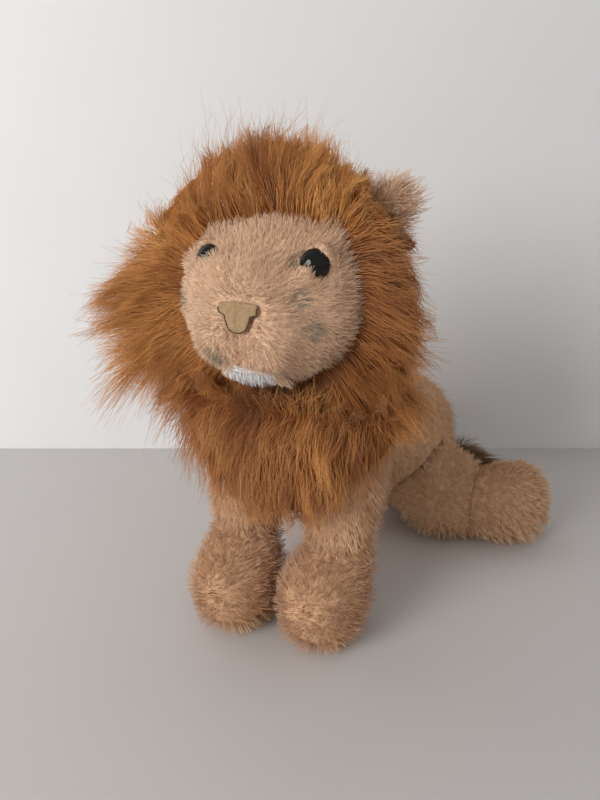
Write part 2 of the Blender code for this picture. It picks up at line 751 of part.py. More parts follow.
def build_head(finishes):
    form = head_form()
    seam = Vector((0, -FACE_SEAM_REACH, 0))
    outer = soft_mesh(form, SKIN_SIDES)
    surface = BVHTree.FromBMesh(outer)
    hollow = place("head_hollow", soft_mesh(form, CORE_SIDES, -SKIN))
    face = place("face_skin", trimmed(outer, seam, -FRONT), finishes["face"])
    cut(face, hollow)
    eye_spaces = build_eyes(finishes, surface)
    cut(face, *eye_spaces)

    nose = nose_prism("nose", 0.0, finishes["nose"])
    boolean(nose, place("nose_face", soft_mesh(form, SKIN_SIDES, -NOSE_SUNK)), "INTERSECT")
    nose_back = -NOSE_SUNK - NOSE_THICKNESS
    cut(nose, place("nose_back", soft_mesh(form, SKIN_SIDES, nose_back)))
    nose_space = nose_prism("nose_space", SEAM_GAP)
    cut(nose_space, place("nose_bed", soft_mesh(form, SKIN_SIDES, nose_back - SEAM_GAP)))
    cut(face, nose_space)

    chin_centre = Vector((0, -CHIN_REACH, CHIN_HEIGHT))
    half = Vector((CHIN_HALF_WIDTH, CHIN_HALF_LENGTH, CHIN_HALF_HEIGHT))
    clear = Vector((SEAM_GAP, SEAM_GAP, SEAM_GAP))
    chin = place("chin_patch", ball_mesh(chin_centre, half), finishes["chin"])
    boolean(chin, place("chin_face", soft_mesh(form, SKIN_SIDES)), "INTERSECT")
    cut(chin, hollow)
    cut(face, place("chin_space", ball_mesh(chin_centre, half + clear)))

    stuffing = filling("head_stuffing", form, finishes["fibre"])
    neck_low = Vector((0, -NECK_REACH, NECK_HEIGHT + NECK_PARTING / 2))
    neck_radius = NECK_RADIUS - SKIN
    neck = neck_mesh(neck_low, neck_radius - SEAM_GAP)
    boolean(stuffing, place("neck_core", neck), "UNION")
    cut(stuffing, *eye_spaces)
    neck_space = place("neck_space", neck_mesh(neck_low - UP * OVERRUN, neck_radius))
    cut(face, neck_space)
    return form, [hollow, neck_space], seam, neck_low


def neck_mesh(low, radius):
    """An upright round column from the neck's parting up into the head."""
    high = low + UP * (HEAD_CENTRE_HEIGHT - low.z)
    across = Vector((radius, 0, 0))
    deep = Vector((0, radius, 0))
    return soft_mesh(Form([station(low, across, deep), station(high, across, deep)], 0.0, 0.0), CORE_SIDES)


def build_mane(finishes, head, others):
    form, hollows, seam, neck_low = head
    hood_mesh = trimmed(soft_mesh(hood_form(), MANE_SIDES), neck_low, -UP)
    hood = place("mane_hood", hood_mesh, finishes["mane"])
    face_space = soft_mesh(form, SKIN_SIDES, SEAM_GAP)
    face_space = trimmed(face_space, seam - FRONT * SEAM_GAP, -FRONT)
    cut(hood, place("face_space", face_space), *hollows)
    for name, side in SIDES:
        ear = place("ear_" + name, soft_mesh(ear_form(side), CORE_SIDES), finishes["face"])
        boolean(ear, place("ear_bed_" + name, soft_mesh(form, SKIN_SIDES, SEAM_GAP)))
        ear_mesh = soft_mesh(ear_form(side), CORE_SIDES, SEAM_GAP)
        cut(hood, place("ear_space_" + name, ear_mesh))
    bib = place("mane_bib", soft_mesh(bib_form(), MANE_SIDES), finishes["mane"])
    cut(bib, *others)


def build():
    clear_scene()
    finishes = {
        "plush": material("sandy short plush", (0.62, 0.40, 0.24), 0.95),
        "face": material("pale short plush", (0.68, 0.46, 0.30), 0.95),
        "mane": material("golden brown long pile", (0.40, 0.17, 0.05), 0.90),
        "chin": material("white short plush", (0.85, 0.83, 0.80), 0.95),
        "nose": material("tan smooth cloth", (0.48, 0.34, 0.20), 0.70),
        "eye": material("black glossy plastic", (0.01, 0.01, 0.01), 0.08),
        "washer": material("white moulded plastic", (0.80, 0.80, 0.78), 0.45),
        "fibre": material("white fibre filling", (0.88, 0.88, 0.86), 1.00),
        "pellets": material("grey pellet bag cloth", (0.45, 0.45, 0.44), 0.85),
    }
    torso = torso_form()
    hips = build_hind_legs(finishes)
    tail_seat = build_tail(finishes)
    build_torso(finishes, hips, tail_seat, torso)
    torso_mesh = soft_mesh(torso, SKIN_SIDES, SEAM_GAP, end_past=OVERRUN)
    torso_space = place("torso_space", torso_mesh)
    foreleg_spaces = build_forelegs(finishes, torso_space)
    head = build_head(finishes)
    build_mane(finishes, head, [torso_space, *foreleg_spaces])


build()
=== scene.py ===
"""The looks of a plush lion: its coats, its pile strand by strand, its eyes and its sewn nose.

Every length is in metres. The lion faces -Y, its left side is +X and the floor is at zero. Each
stuffed piece has an under-coat, which is the cloth between its strands, mostly coloured darker than
them as painted shade between the strands, and strands that grow from it. Strands read their colour
from where they lie on the OFBake map: across it runs the tint of a strand, and up it runs the way
from root to tip, with painted shade at the root and painted light at the tip. A span is where
something starts and where it is full.
"""

import json
import math
from collections import namedtuple

import bmesh
import bpy
import numpy as np
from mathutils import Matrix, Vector
from mathutils.bvhtree import BVHTree


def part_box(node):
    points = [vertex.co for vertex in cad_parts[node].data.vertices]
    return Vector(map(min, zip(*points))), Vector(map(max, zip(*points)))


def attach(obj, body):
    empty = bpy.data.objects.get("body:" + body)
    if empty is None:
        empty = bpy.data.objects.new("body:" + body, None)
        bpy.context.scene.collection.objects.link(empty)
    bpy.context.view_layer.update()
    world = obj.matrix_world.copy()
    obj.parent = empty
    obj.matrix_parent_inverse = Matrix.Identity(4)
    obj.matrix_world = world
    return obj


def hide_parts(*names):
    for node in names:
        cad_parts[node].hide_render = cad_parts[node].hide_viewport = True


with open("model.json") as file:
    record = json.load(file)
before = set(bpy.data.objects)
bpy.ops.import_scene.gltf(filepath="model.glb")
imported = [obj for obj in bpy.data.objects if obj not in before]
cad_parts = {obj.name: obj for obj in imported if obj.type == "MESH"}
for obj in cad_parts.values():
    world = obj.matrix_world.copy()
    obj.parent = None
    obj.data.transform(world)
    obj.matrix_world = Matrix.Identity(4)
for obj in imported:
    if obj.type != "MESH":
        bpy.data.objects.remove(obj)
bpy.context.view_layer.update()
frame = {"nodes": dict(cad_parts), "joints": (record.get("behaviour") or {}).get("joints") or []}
JOINTS = {joint["name"]: joint for joint in frame["joints"]}
SIDES = {"left": 1.0, "right": -1.0}

# View
LENS = 28.8
SENSOR = 36.0
CAMERA_PLACE = Vector((0.1635, -0.4604, 0.2500))
CAMERA_AZIMUTH = math.radians(27.5)
CAMERA_PITCH = math.radians(18.0)

# Room
FLOOR_HALF = 3.0
FLOOR_GAP = 0.0004
FLOOR_COLOUR = (0.63, 0.605, 0.59)
WALL_DISTANCE = 0.610  # from the camera, measured level
WALL_HALF_WIDTH = 3.0
WALL_HEIGHT = 3.0
WALL_COLOUR = (0.85, 0.85, 0.85)
DULL_SHARE = 0.97  # of the colour of the floor and the wall, in their duller patches
WORLD_COLOUR = (1.0, 0.98, 0.96, 1.0)
WORLD_STRENGTH = 0.42
WINDOW_PLACE = (-0.42, -1.45, 0.62)
WINDOW_AIM = (0.0, -0.08, 0.14)
WINDOW_SIZE = 0.8
WINDOW_POWER = 14.0

# Under-coats
COAT_VOXEL = 0.0022
MANE_VOXEL = 0.0032
CHIN_VOXEL = 0.0014
EAR_VOXEL = 0.0016
MERGE_DISTANCE = 1e-6
COAT_DEPTH = 0.0036  # how far the cloth lies under the tips of the short pile
FLOOR_DEPTH_SHARE = 0.12
FLOOR_EASE = 0.0200  # height over which a coat draws in above the floor
FACE_DEPTH = 0.0030
EAR_DEPTH = 0.0022
CHIN_DEPTH = 0.0012
TAIL_DEPTH = 0.0030
TUFT_DEPTH = 0.0060
MEET_SPAN = (0.0015, 0.0120)  # from the cloth that a coat meets
ANKLE_HEIGHT = 0.0570  # of the crease over each forepaw
ANKLE_REACH = 0.0048
ANKLE_DEPTH = 0.0052
ANKLE_FRONT_SPAN = (0.0, 0.6)
SEAM_GAP = 0.0004
LEG_SEAM_PLACE = 0.0270  # from the hip's centre to the seam at the foot
LEG_SEAM_DEPTH = 0.0030
LEG_SEAM_HALF_WIDTH = 0.0060
LEG_SEAM_HEIGHT_SPAN = (0.004, 0.020)
HOOD_DEPTH = 0.0085
HOOD_SEAM_SPAN = (0.004, 0.030)  # from the cloth of the face
HOOD_LEFT_DEPTH = 0.0085  # the mane is brushed close on the toy's left side
HOOD_LEFT_SPAN = (0.025, 0.065)
BIB_DEPTH = 0.0070
BIB_MEET_SPAN = (0.0010, 0.0120)
BIB_LEFT_DEPTH = 0.0020
BIB_LEFT_SPAN = (0.025, 0.060)
NECK_DEPTH = 0.0050  # added at the bib's upper rim
NECK_HEIGHT_SPAN = (0.134, 0.148)

# Pile
SHORT_PILE = 0.0064
LEG_PILE_SHARE = 1.15  # of the short pile
TAIL_PILE = 0.0055
FACE_PILE = 0.0043
EAR_PILE = 0.0110
CHIN_PILE = 0.0046
MANE_PILE = 0.0310
BIB_PILE = 0.0270
BIB_LOW_PILE = 0.0100
TUFT_PILE = 0.0140
WISP_PILE = 0.0390
THROAT_PILE = 0.0400
STRAND_CLEAR = 0.0004  # above the floor
LEAVING_LIFT = 0.35  # how much more a strand stands up at its root

# Face
NOSE_CENTRE = Vector((0.0, -0.2100, 0.1935))
NOSE_HALF_WIDTH = 0.0112
NOSE_HEIGHT = 0.0150
NOSE_TOP = 0.2010
NOSE_SHARES = (
    (0.00, 0.00), (0.92, 0.02), (1.00, 0.18), (0.96, 0.36), (0.66, 0.44),
    (0.58, 0.66), (0.44, 0.88), (0.20, 0.98), (0.00, 1.00),
)
NOSE_VOXEL = 0.0005
NOSE_PUFF = 0.0004
NOSE_FRONT_SPAN = (0.2, 0.7)
CREASE_DEPTH = 0.0006
CREASE_WIDTH = 0.0009
THREAD_INSET_SHARE = 0.955
THREAD_RADIUS = 0.00034
THREAD_RISE_SHARE = 0.4  # of its radius, above the cloth
THREAD_PARTS = 4  # of each side of the nose's outline
THREAD_AHEAD = -0.3  # of the whole head
STITCH_LENGTH = 0.0017
STITCH_STEP = 0.0014
CHIN_WHITE_HALF = 0.0125
CHIN_WHITE_EASE = 0.001
MOUTH_TOP = 0.1850
MOUTH_LOW = 0.1665
MOUTH_LOW_EASE = 0.002
MOUTH_TOP_EASE = 0.003
MOUTH_HALF_WIDTH = 0.0032
MOUTH_PLACE = -0.0025
MOUTH_DEPTH = 0.0048
MOUTH_BACK = 0.02  # how far behind the nose's middle it reaches
LID_CREST = 0.0070  # from the eye's axis
LID_WIDTH = 0.0029
LID_HEIGHT = 0.0084
LID_SLANT = math.radians(32.0)
LID_AXIS_REACH = 0.02  # along the eye's axis, either way
# The swells and hollows of the stuffed face: centre, radius and height
FACE_FORMS = (
    ((0.0170, -0.2060, 0.1800), 0.0115, 0.0042),
    ((-0.0200, -0.2060, 0.1800), 0.0115, 0.0042),
    ((-0.0020, -0.2030, 0.2140), 0.0130, 0.0040),
    ((0.0190, -0.2020, 0.2000), 0.0070, -0.0022),
    ((-0.0200, -0.2020, 0.2000), 0.0070, -0.0022),
    ((0.0000, -0.1950, 0.2320), 0.0160, 0.0015),
    ((0.0335, -0.1920, 0.2300), 0.0068, 0.0066),
    ((0.0410, -0.1870, 0.2235), 0.0055, 0.0050),
    ((0.0205, -0.1965, 0.2225), 0.0045, -0.0028),
    ((0.0300, -0.1930, 0.2080), 0.0055, -0.0016),
    ((-0.0190, -0.1985, 0.2175), 0.0080, 0.0056),
    ((-0.0320, -0.1920, 0.2305), 0.0070, 0.0062),
    ((-0.0460, -0.1810, 0.2190), 0.0090, 0.0052),
    ((0.0420, -0.1890, 0.1950), 0.0140, 0.0015),
    ((-0.0420, -0.1880, 0.1900), 0.0140, 0.0026),
    ((-0.0500, -0.1800, 0.2000), 0.0150, 0.0040),
    ((0.0370, -0.1760, 0.2370), 0.0090, 0.0070),
    ((-0.0390, -0.1760, 0.2370), 0.0090, 0.0070),
)
# Where the face's cloth is smudged, and where shade is painted beside the nose and at the inner corners of
# the eyes: centre, radius and strength
SMUDGES_AND_SHADE = (
    ((0.0284, -0.2009, 0.2044), 0.0046, 1.00),
    ((0.0349, -0.1994, 0.1890), 0.0044, 0.80),
    ((-0.0460, -0.1867, 0.1955), 0.0046, 0.90),
    ((-0.0141, -0.2093, 0.1741), 0.0038, 0.75),
    # painted shade: beside the nose, and at the inner corners of the eyes
    ((0.0124, -0.2108, 0.1996), 0.0022, 1.00),
    ((0.0221, -0.1940, 0.2200), 0.0044, 0.90),
    ((-0.0230, -0.1940, 0.2185), 0.0040, 0.70),
)

# Eyes, each along its own axis from the front of its dome
EYE_RADIUS = 0.0072
EYE_DOME = 0.0056
EYE_RIM = 0.0010
EYE_SOFT_SHARE = 0.25  # of the rim, rounded off its edges
EYE_LENGTH = 0.0164
SHANK_RADIUS = 0.0022
EYE_STEPS = 72
DOME_STEPS = 20

# A slanted way for the test of what lies inside
RAY_WAY = Vector((0.131, 0.274, 0.953)).normalized()
RAY_STEP = 0.00001
RAY_LIMIT = 40

# The kinds of pile
Pile = namedtuple(
    "Pile",
    "width tip points lock_size lock_bend clump_size clump_pull stray length_spread tint_spread wave",
)
SHORT = Pile(0.00038, 0.40, 3, 0.0100, 0.50, 0.0036, 0.60, 0.24, 0.22, 0.20, 0.0006)
HIND_LEG = SHORT._replace(width=0.00042, clump_size=0.0055, clump_pull=0.78)
FACE = SHORT._replace(width=0.00031, tint_spread=0.10, clump_size=0.0028, lock_size=0.008)
MANE = Pile(0.00038, 0.22, 4, 0.0220, 0.55, 0.0095, 0.42, 0.26, 0.34, 0.26, 0.0065)
TUFT = MANE._replace(width=0.00040, lock_size=0.014, clump_size=0.006, wave=0.003)
WISPS = MANE._replace(width=0.00022, stray=0.40, clump_pull=0.35, length_spread=0.35)

# How many strands each piece has, and the seed of their places, to which a pair adds its side
STRANDS = {
    "torso_pile": (6500, 11),
    "foreleg_pile": (9300, 21),
    "thigh_pile": (3600, 3631),
    "hind_foot_pile": (5000, 5031),
    "tail_pile": (1800, 41),
    "tail_tuft_hair": (2800, 43),
    "face_pile": (12800, 51),
    "chin_pile": (1800, 53),
    "chin_edge_pile": (1000, 54),
    "ear_pile": (1600, 61),
    "mane_hair_back": (3800, 71),
    "mane_hair_left": (6900, 72),
    "mane_hair_crown": (7000, 73),
    "mane_hair_right": (7400, 74),
    "mane_hair_throat": (6600, 75),
    "mane_wisps": (2200, 79),
    "bib_hair_front": (6000, 91),
    "bib_hair_sides": (3500, 92),
}

# Soft patches in a coat's tint or pile: strength, size and seed
PILE_PATCHES = ((0.10, 0.016, 3),)
BODY_PATCHES = ((0.14, 0.030, 1), (0.10, 0.011, 2))
FACE_PATCHES = ((0.09, 0.022, 5), (0.07, 0.009, 6))
MANE_PATCHES = ((0.20, 0.050, 8), (0.16, 0.014, 9))
BIB_PATCHES = ((0.18, 0.040, 12), (0.16, 0.014, 13))
PATCH_WAVES = 6
PATCH_PEAK = 3.2  # of so many waves together


def smooth_step(values, low, high):
    share = np.clip((values - low) / (high - low), 0.0, 1.0)
    return share * share * (3 - 2 * share)


def bell(values, middle, reach):
    """One at the middle, falling away on both sides of it."""
    return np.exp(-(((values - middle) / reach) ** 2))


def unit(rows):
    length = np.linalg.norm(rows, axis=-1, keepdims=True)
    return rows / np.maximum(length, 1e-9)


def points_of(data):
    rows = np.empty(len(data.vertices) * 3, np.float32)
    data.vertices.foreach_get("co", rows)
    return rows.reshape(-1, 3).astype(float)


def normals_of(data):
    rows = np.empty(len(data.vertices) * 3, np.float32)
    data.vertex_normals.foreach_get("vector", rows)
    return rows.reshape(-1, 3).astype(float)


def move_points(data, rows):
    data.vertices.foreach_set("co", rows.astype(np.float32).ravel())
    data.update()


def add_object(name, data):
    made = bpy.data.objects.new(name, data)
    bpy.context.scene.collection.objects.link(made)
    return made


def evaluated(obj):
    """A plain mesh of what an object's modifiers make of it."""
    bpy.context.view_layer.update()
    graph = bpy.context.evaluated_depsgraph_get()
    return bpy.data.meshes.new_from_object(obj.evaluated_get(graph))


def joined_nodes(names):
    """One mesh of several of the model's solids, with their corners merged."""
    mesh = bmesh.new()
    for name in names:
        mesh.from_mesh(frame["nodes"][name].data)
    bmesh.ops.remove_doubles(mesh, verts=mesh.verts, dist=MERGE_DISTANCE)
    data = bpy.data.meshes.new("joined")
    mesh.to_mesh(data)
    mesh.free()
    return data


def largest_body(mesh):
    """Drops every part of a mesh but the one that has the most corners."""
    left = set(mesh.verts)
    best = []
    while left:
        first = left.pop()
        group = [first]
        for corner in group:
            for edge in corner.link_edges:
                other = edge.other_vert(corner)
                if other in left:
                    left.discard(other)
                    group.append(other)
        if len(group) > len(best):
            best = group
    kept = set(best)
    bmesh.ops.delete(mesh, geom=[v for v in mesh.verts if v not in kept], context="VERTS")


def smooth_mesh(mesh, rounds):
    """Draws the corners of a bmesh towards their neighbours, round by round."""
    for _ in range(rounds):
        bmesh.ops.smooth_vert(
            mesh, verts=mesh.verts, factor=0.5, use_axis_x=True, use_axis_y=True, use_axis_z=True
        )


def remeshed(data, voxel, rounds):
    """The outer surface of some solids as one even, smoothed mesh."""
    helper = add_object("remesh_helper", data)
    step = helper.modifiers.new("even", "REMESH")
    step.mode = "VOXEL"
    step.voxel_size = voxel
    made = evaluated(helper)
    bpy.data.objects.remove(helper)
    mesh = bmesh.new()
    mesh.from_mesh(made)
    largest_body(mesh)
    smooth_mesh(mesh, rounds)
    bmesh.ops.recalc_face_normals(mesh, faces=mesh.faces)
    mesh.to_mesh(made)
    mesh.free()
    return made


def sunk(data, depths, rounds=2):
    """A mesh with each point moved in along its normal, and smoothed."""
    move_points(data, points_of(data) - normals_of(data) * np.asarray(depths).reshape(-1, 1))
    mesh = bmesh.new()
    mesh.from_mesh(data)
    smooth_mesh(mesh, rounds)
    mesh.to_mesh(data)
    mesh.free()
    return data


def depths_above_floor(data, depth):
    """The depth of a coat at each point, less where it rests on the floor."""
    share = smooth_step(points_of(data)[:, 2], 0.0, FLOOR_EASE)
    return depth * (FLOOR_DEPTH_SHARE + (1 - FLOOR_DEPTH_SHARE) * share)


def tree_of(*meshes):
    """One search tree of several meshes."""
    corners = []
    faces = []
    for data in meshes:
        start = len(corners)
        corners += [tuple(row) for row in points_of(data)]
        faces += [[start + k for k in face.vertices] for face in data.polygons]
    return BVHTree.FromPolygons(corners, faces)


def solids_tree(*names):
    """One search tree of several of the model's solids."""
    return tree_of(joined_nodes(names))


def encloses(tree, point):
    """Whether a point lies in one of a tree's closed surfaces, which may overlap."""
    depth = 0
    start = point
    for _ in range(RAY_LIMIT):
        spot, normal, _, _ = tree.ray_cast(start, RAY_WAY)
        if spot is None:
            break
        depth += 1 if normal.dot(RAY_WAY) > 0 else -1
        start = spot + RAY_WAY * RAY_STEP
    return depth > 0


def signed_distance(rows, tree):
    """How far each point lies outside closed surfaces; less than zero inside."""
    out = np.empty(len(rows))
    for k, row in enumerate(rows):
        point = Vector(row)
        distance = tree.find_nearest(point)[3]
        out[k] = -distance if encloses(tree, point) else distance
    return out


def turned_away(rows, normals, tree):
    """Whether each point's side of the cloth faces away from what it lies on."""
    near = np.array([tree.find_nearest(Vector(row))[0] for row in rows])
    return np.sum((rows - near) * normals, axis=1) > 0


def tangential(ways, normals):
    """Each direction laid along the surface."""
    return unit(ways - normals * np.sum(ways * normals, axis=1, keepdims=True))


def soft_noise(rows, size, seed):
    """A smooth value from -1 to 1 at each point, made of a few sine waves."""
    source = np.random.default_rng(seed)
    total = np.zeros(len(rows))
    for _ in range(PATCH_WAVES):
        way = unit(source.normal(size=3)) / size
        total += np.sin(rows @ way * 2 * math.pi + source.uniform(0, 2 * math.pi))
    return total / PATCH_PEAK


def mottled(rows, base, patches):
    """A value with soft patches, each of its own strength, size and seed."""
    total = base
    for strength, size, seed in patches:
        total = total + strength * soft_noise(rows, size, seed)
    return total


# Materials


def node(tree, kind, wires=None, **settings):
    """A new node with its settings; a wire's value is a socket, or the number that an input holds."""
    made = tree.nodes.new(kind)
    for key, value in settings.items():
        setattr(made, key, value)
    for key, value in (wires or {}).items():
        if isinstance(key, str):
            socket = next(s for s in made.inputs if s.name == key and s.enabled)
        else:
            socket = made.inputs[key]
        if isinstance(value, bpy.types.NodeSocket):
            tree.links.new(value, socket)
        else:
            socket.default_value = value
    return made


def maths(tree, operation, *values):
    return node(tree, "ShaderNodeMath", dict(enumerate(values)), operation=operation).outputs[0]


def blended(tree, factor, first, second, mode="MIX"):
    """A mix of two colours."""
    wires = {"Factor": factor, "A": first, "B": second}
    made = node(tree, "ShaderNodeMix", wires, data_type="RGBA", blend_type=mode)
    return next(s for s in made.outputs if s.enabled)


def ramp(tree, factor, stops):
    made = node(tree, "ShaderNodeValToRGB", {"Fac": factor})
    steps = made.color_ramp.elements
    while len(steps) < len(stops):
        steps.new(0.5)
    for step, (place, colour) in zip(steps, stops):
        step.position = place
        step.color = (*colour, 1.0)
    return made.outputs["Color"]


def new_group(name, sockets):
    """A shader node group, from (name, kind, default or None for an output) rows."""
    tree = bpy.data.node_groups.new(name, "ShaderNodeTree")
    for label, kind, default in sockets:
        way = "OUTPUT" if default is None else "INPUT"
        made = tree.interface.new_socket(label, in_out=way, socket_type=kind)
        if default is not None:
            made.default_value = default
    return tree, tree.nodes.new("NodeGroupInput").outputs, tree.nodes.new("NodeGroupOutput").inputs


def pile_shade_group():
    """Painted shade and light: darkens a strand's colour towards its root, where shade falls deep in the
    pile, and lightens it at its tip, where light shines through.
    """
    tree, given, out = new_group(
        "pile root shade and tip light",
        [
            ("Color", "NodeSocketColor", (0.5, 0.5, 0.5, 1.0)),
            ("Root", "NodeSocketColor", (0.3, 0.2, 0.1, 1.0)),
            ("Tip", "NodeSocketColor", (0.9, 0.8, 0.7, 1.0)),
            ("Root Reach", "NodeSocketFloat", 0.45),
            ("Tip Reach", "NodeSocketFloat", 0.60),
            ("Color", "NodeSocketColor", None),
        ],
    )
    place = node(tree, "ShaderNodeUVMap", uv_map="OFBake").outputs["UV"]
    parts = node(tree, "ShaderNodeSeparateXYZ", {0: place}).outputs
    rooted = node(
        tree, "ShaderNodeMapRange", {"Value": parts["Y"], "From Min": 0.0, "From Max": given["Root Reach"]}
    ).outputs[0]
    tipped = node(
        tree, "ShaderNodeMapRange", {"Value": parts["Y"], "From Min": given["Tip Reach"], "From Max": 1.0}
    ).outputs[0]
    body = blended(tree, rooted, given["Root"], given["Color"])
    tree.links.new(blended(tree, tipped, body, given["Tip"]), out["Color"])
    return tree


def cloth_bump_group():
    """Tufts and grain of cut pile, as a height and a share for colour."""
    tree, given, out = new_group(
        "pile grain",
        [
            ("Tuft Size", "NodeSocketFloat", 0.004),
            ("Grain Size", "NodeSocketFloat", 0.0008),
            ("Height", "NodeSocketFloat", None),
            ("Shade", "NodeSocketFloat", None),
        ],
    )
    place = node(tree, "ShaderNodeTexCoord").outputs["Object"]
    tuft_scale = maths(tree, "DIVIDE", 1.0, given["Tuft Size"])
    grain_scale = maths(tree, "DIVIDE", 1.0, given["Grain Size"])
    tufts = node(tree, "ShaderNodeTexNoise", {"Vector": place, "Scale": tuft_scale, "Detail": 3.0})
    grain = node(tree, "ShaderNodeTexNoise", {"Vector": place, "Scale": grain_scale, "Detail": 2.0})
    height = maths(tree, "ADD", tufts.outputs[0], maths(tree, "MULTIPLY", grain.outputs[0], 0.4))
    tree.links.new(height, out["Height"])
    tree.links.new(tufts.outputs[0], out["Shade"])
    return tree


def new_finish(name, roughness, **sockets):
    finish = bpy.data.materials.new(name)
    finish.use_nodes = True
    shader = finish.node_tree.nodes["Principled BSDF"]
    shader.inputs["Roughness"].default_value = roughness
    for key, value in sockets.items():
        shader.inputs[key.replace("_", " ")].default_value = value
    return finish, finish.node_tree, shader


def strand_finish(name, stops, root, tip, root_reach=0.45, tip_reach=0.60, roughness=0.80, sheen=0.25):
    """The finish of strands: their tint across the map, and up it their painted shade at the root and
    painted light at the tip.
    """
    finish, tree, shader = new_finish(name, roughness, Sheen_Weight=sheen)
    shader.inputs["Specular IOR Level"].default_value = 0.25
    place = node(tree, "ShaderNodeUVMap", uv_map="OFBake").outputs["UV"]
    across = node(tree, "ShaderNodeSeparateXYZ", {0: place}).outputs["X"]
    colour = ramp(tree, across, stops)
    group = node(tree, "ShaderNodeGroup", node_tree=PILE_SHADE)
    tree.links.new(colour, group.inputs["Color"])
    group.inputs["Root Reach"].default_value = root_reach
    group.inputs["Tip Reach"].default_value = tip_reach
    # painted shade towards the root, painted light at the tip
    rooted = blended(tree, 1.0, colour, (*root, 1.0), "MULTIPLY")
    tipped = blended(tree, 1.0, colour, (*tip, 1.0), "MULTIPLY")
    tree.links.new(rooted, group.inputs["Root"])
    tree.links.new(tipped, group.inputs["Tip"])
    tree.links.new(group.outputs["Color"], shader.inputs["Base Color"])
    return finish


def plastic_finish(name, dark, light, roughness):
    """Moulded plastic with faint handling marks."""
    finish, tree, shader = new_finish(name, roughness)
    shader.inputs["Specular IOR Level"].default_value = 0.35
    group = node(tree, "ShaderNodeGroup", node_tree=CLOTH_BUMP)
    group.inputs["Tuft Size"].default_value = 0.0030
    group.inputs["Grain Size"].default_value = 0.0006
    shade = ramp(tree, group.outputs["Shade"], [(0.35, dark), (0.65, light)])
    tree.links.new(shade, shader.inputs["Base Color"])
    rough = node(
        tree,
        "ShaderNodeMapRange",
        {"Value": group.outputs["Shade"], "To Min": 0.6 * roughness, "To Max": 1.6 * roughness},
    )
    tree.links.new(rough.outputs[0], shader.inputs["Roughness"])
    return finish


def cloth_finish(name, dark, light, roughness=0.95, tuft=0.004, grain=0.0008, bump=0.0012):
    """Cloth, or the cloth and the close pile between strands."""
    finish, tree, shader = new_finish(name, roughness)
    shader.inputs["Specular IOR Level"].default_value = 0.10
    group = node(tree, "ShaderNodeGroup", node_tree=CLOTH_BUMP)
    group.inputs["Tuft Size"].default_value = tuft
    group.inputs["Grain Size"].default_value = grain
    shade = ramp(tree, group.outputs["Shade"], [(0.30, dark), (0.70, light)])
    tree.links.new(shade, shader.inputs["Base Color"])
    relief = node(tree, "ShaderNodeBump", {"Height": group.outputs["Height"], "Distance": bump})
    tree.links.new(relief.outputs["Normal"], shader.inputs["Normal"])
    return finish


PILE_SHADE = pile_shade_group()
CLOTH_BUMP = cloth_bump_group()

# Tints of each kind of strand, from the dark to the pale side of the map
BODY_TINTS = [
    (0.00, (0.56, 0.30, 0.16)),
    (0.35, (0.70, 0.42, 0.24)),
    (0.70, (0.82, 0.55, 0.34)),
    (1.00, (0.90, 0.66, 0.44)),
]
# The face's also hold the smudges and the painted shade by the nose and eyes at the dark end and the mouth's
# seam at the other
FACE_TINTS = [
    (0.00, (0.20, 0.19, 0.14)),
    (0.14, (0.30, 0.27, 0.20)),
    (0.24, (0.70, 0.47, 0.31)),
    (0.50, (0.84, 0.59, 0.40)),
    (0.80, (0.92, 0.70, 0.51)),
    (0.90, (0.74, 0.43, 0.30)),
    (1.00, (0.48, 0.24, 0.16)),
]
MANE_TINTS = [
    (0.00, (0.30, 0.098, 0.022)),
    (0.30, (0.50, 0.190, 0.045)),
    (0.65, (0.70, 0.315, 0.088)),
    (1.00, (0.86, 0.475, 0.165)),
]
TUFT_TINTS = [
    (0.00, (0.110, 0.058, 0.026)),
    (0.60, (0.280, 0.155, 0.070)),
    (1.00, (0.480, 0.300, 0.150)),
]
CHIN_TINTS = [(0.0, (0.92, 0.91, 0.90)), (1.0, (0.97, 0.965, 0.96))]

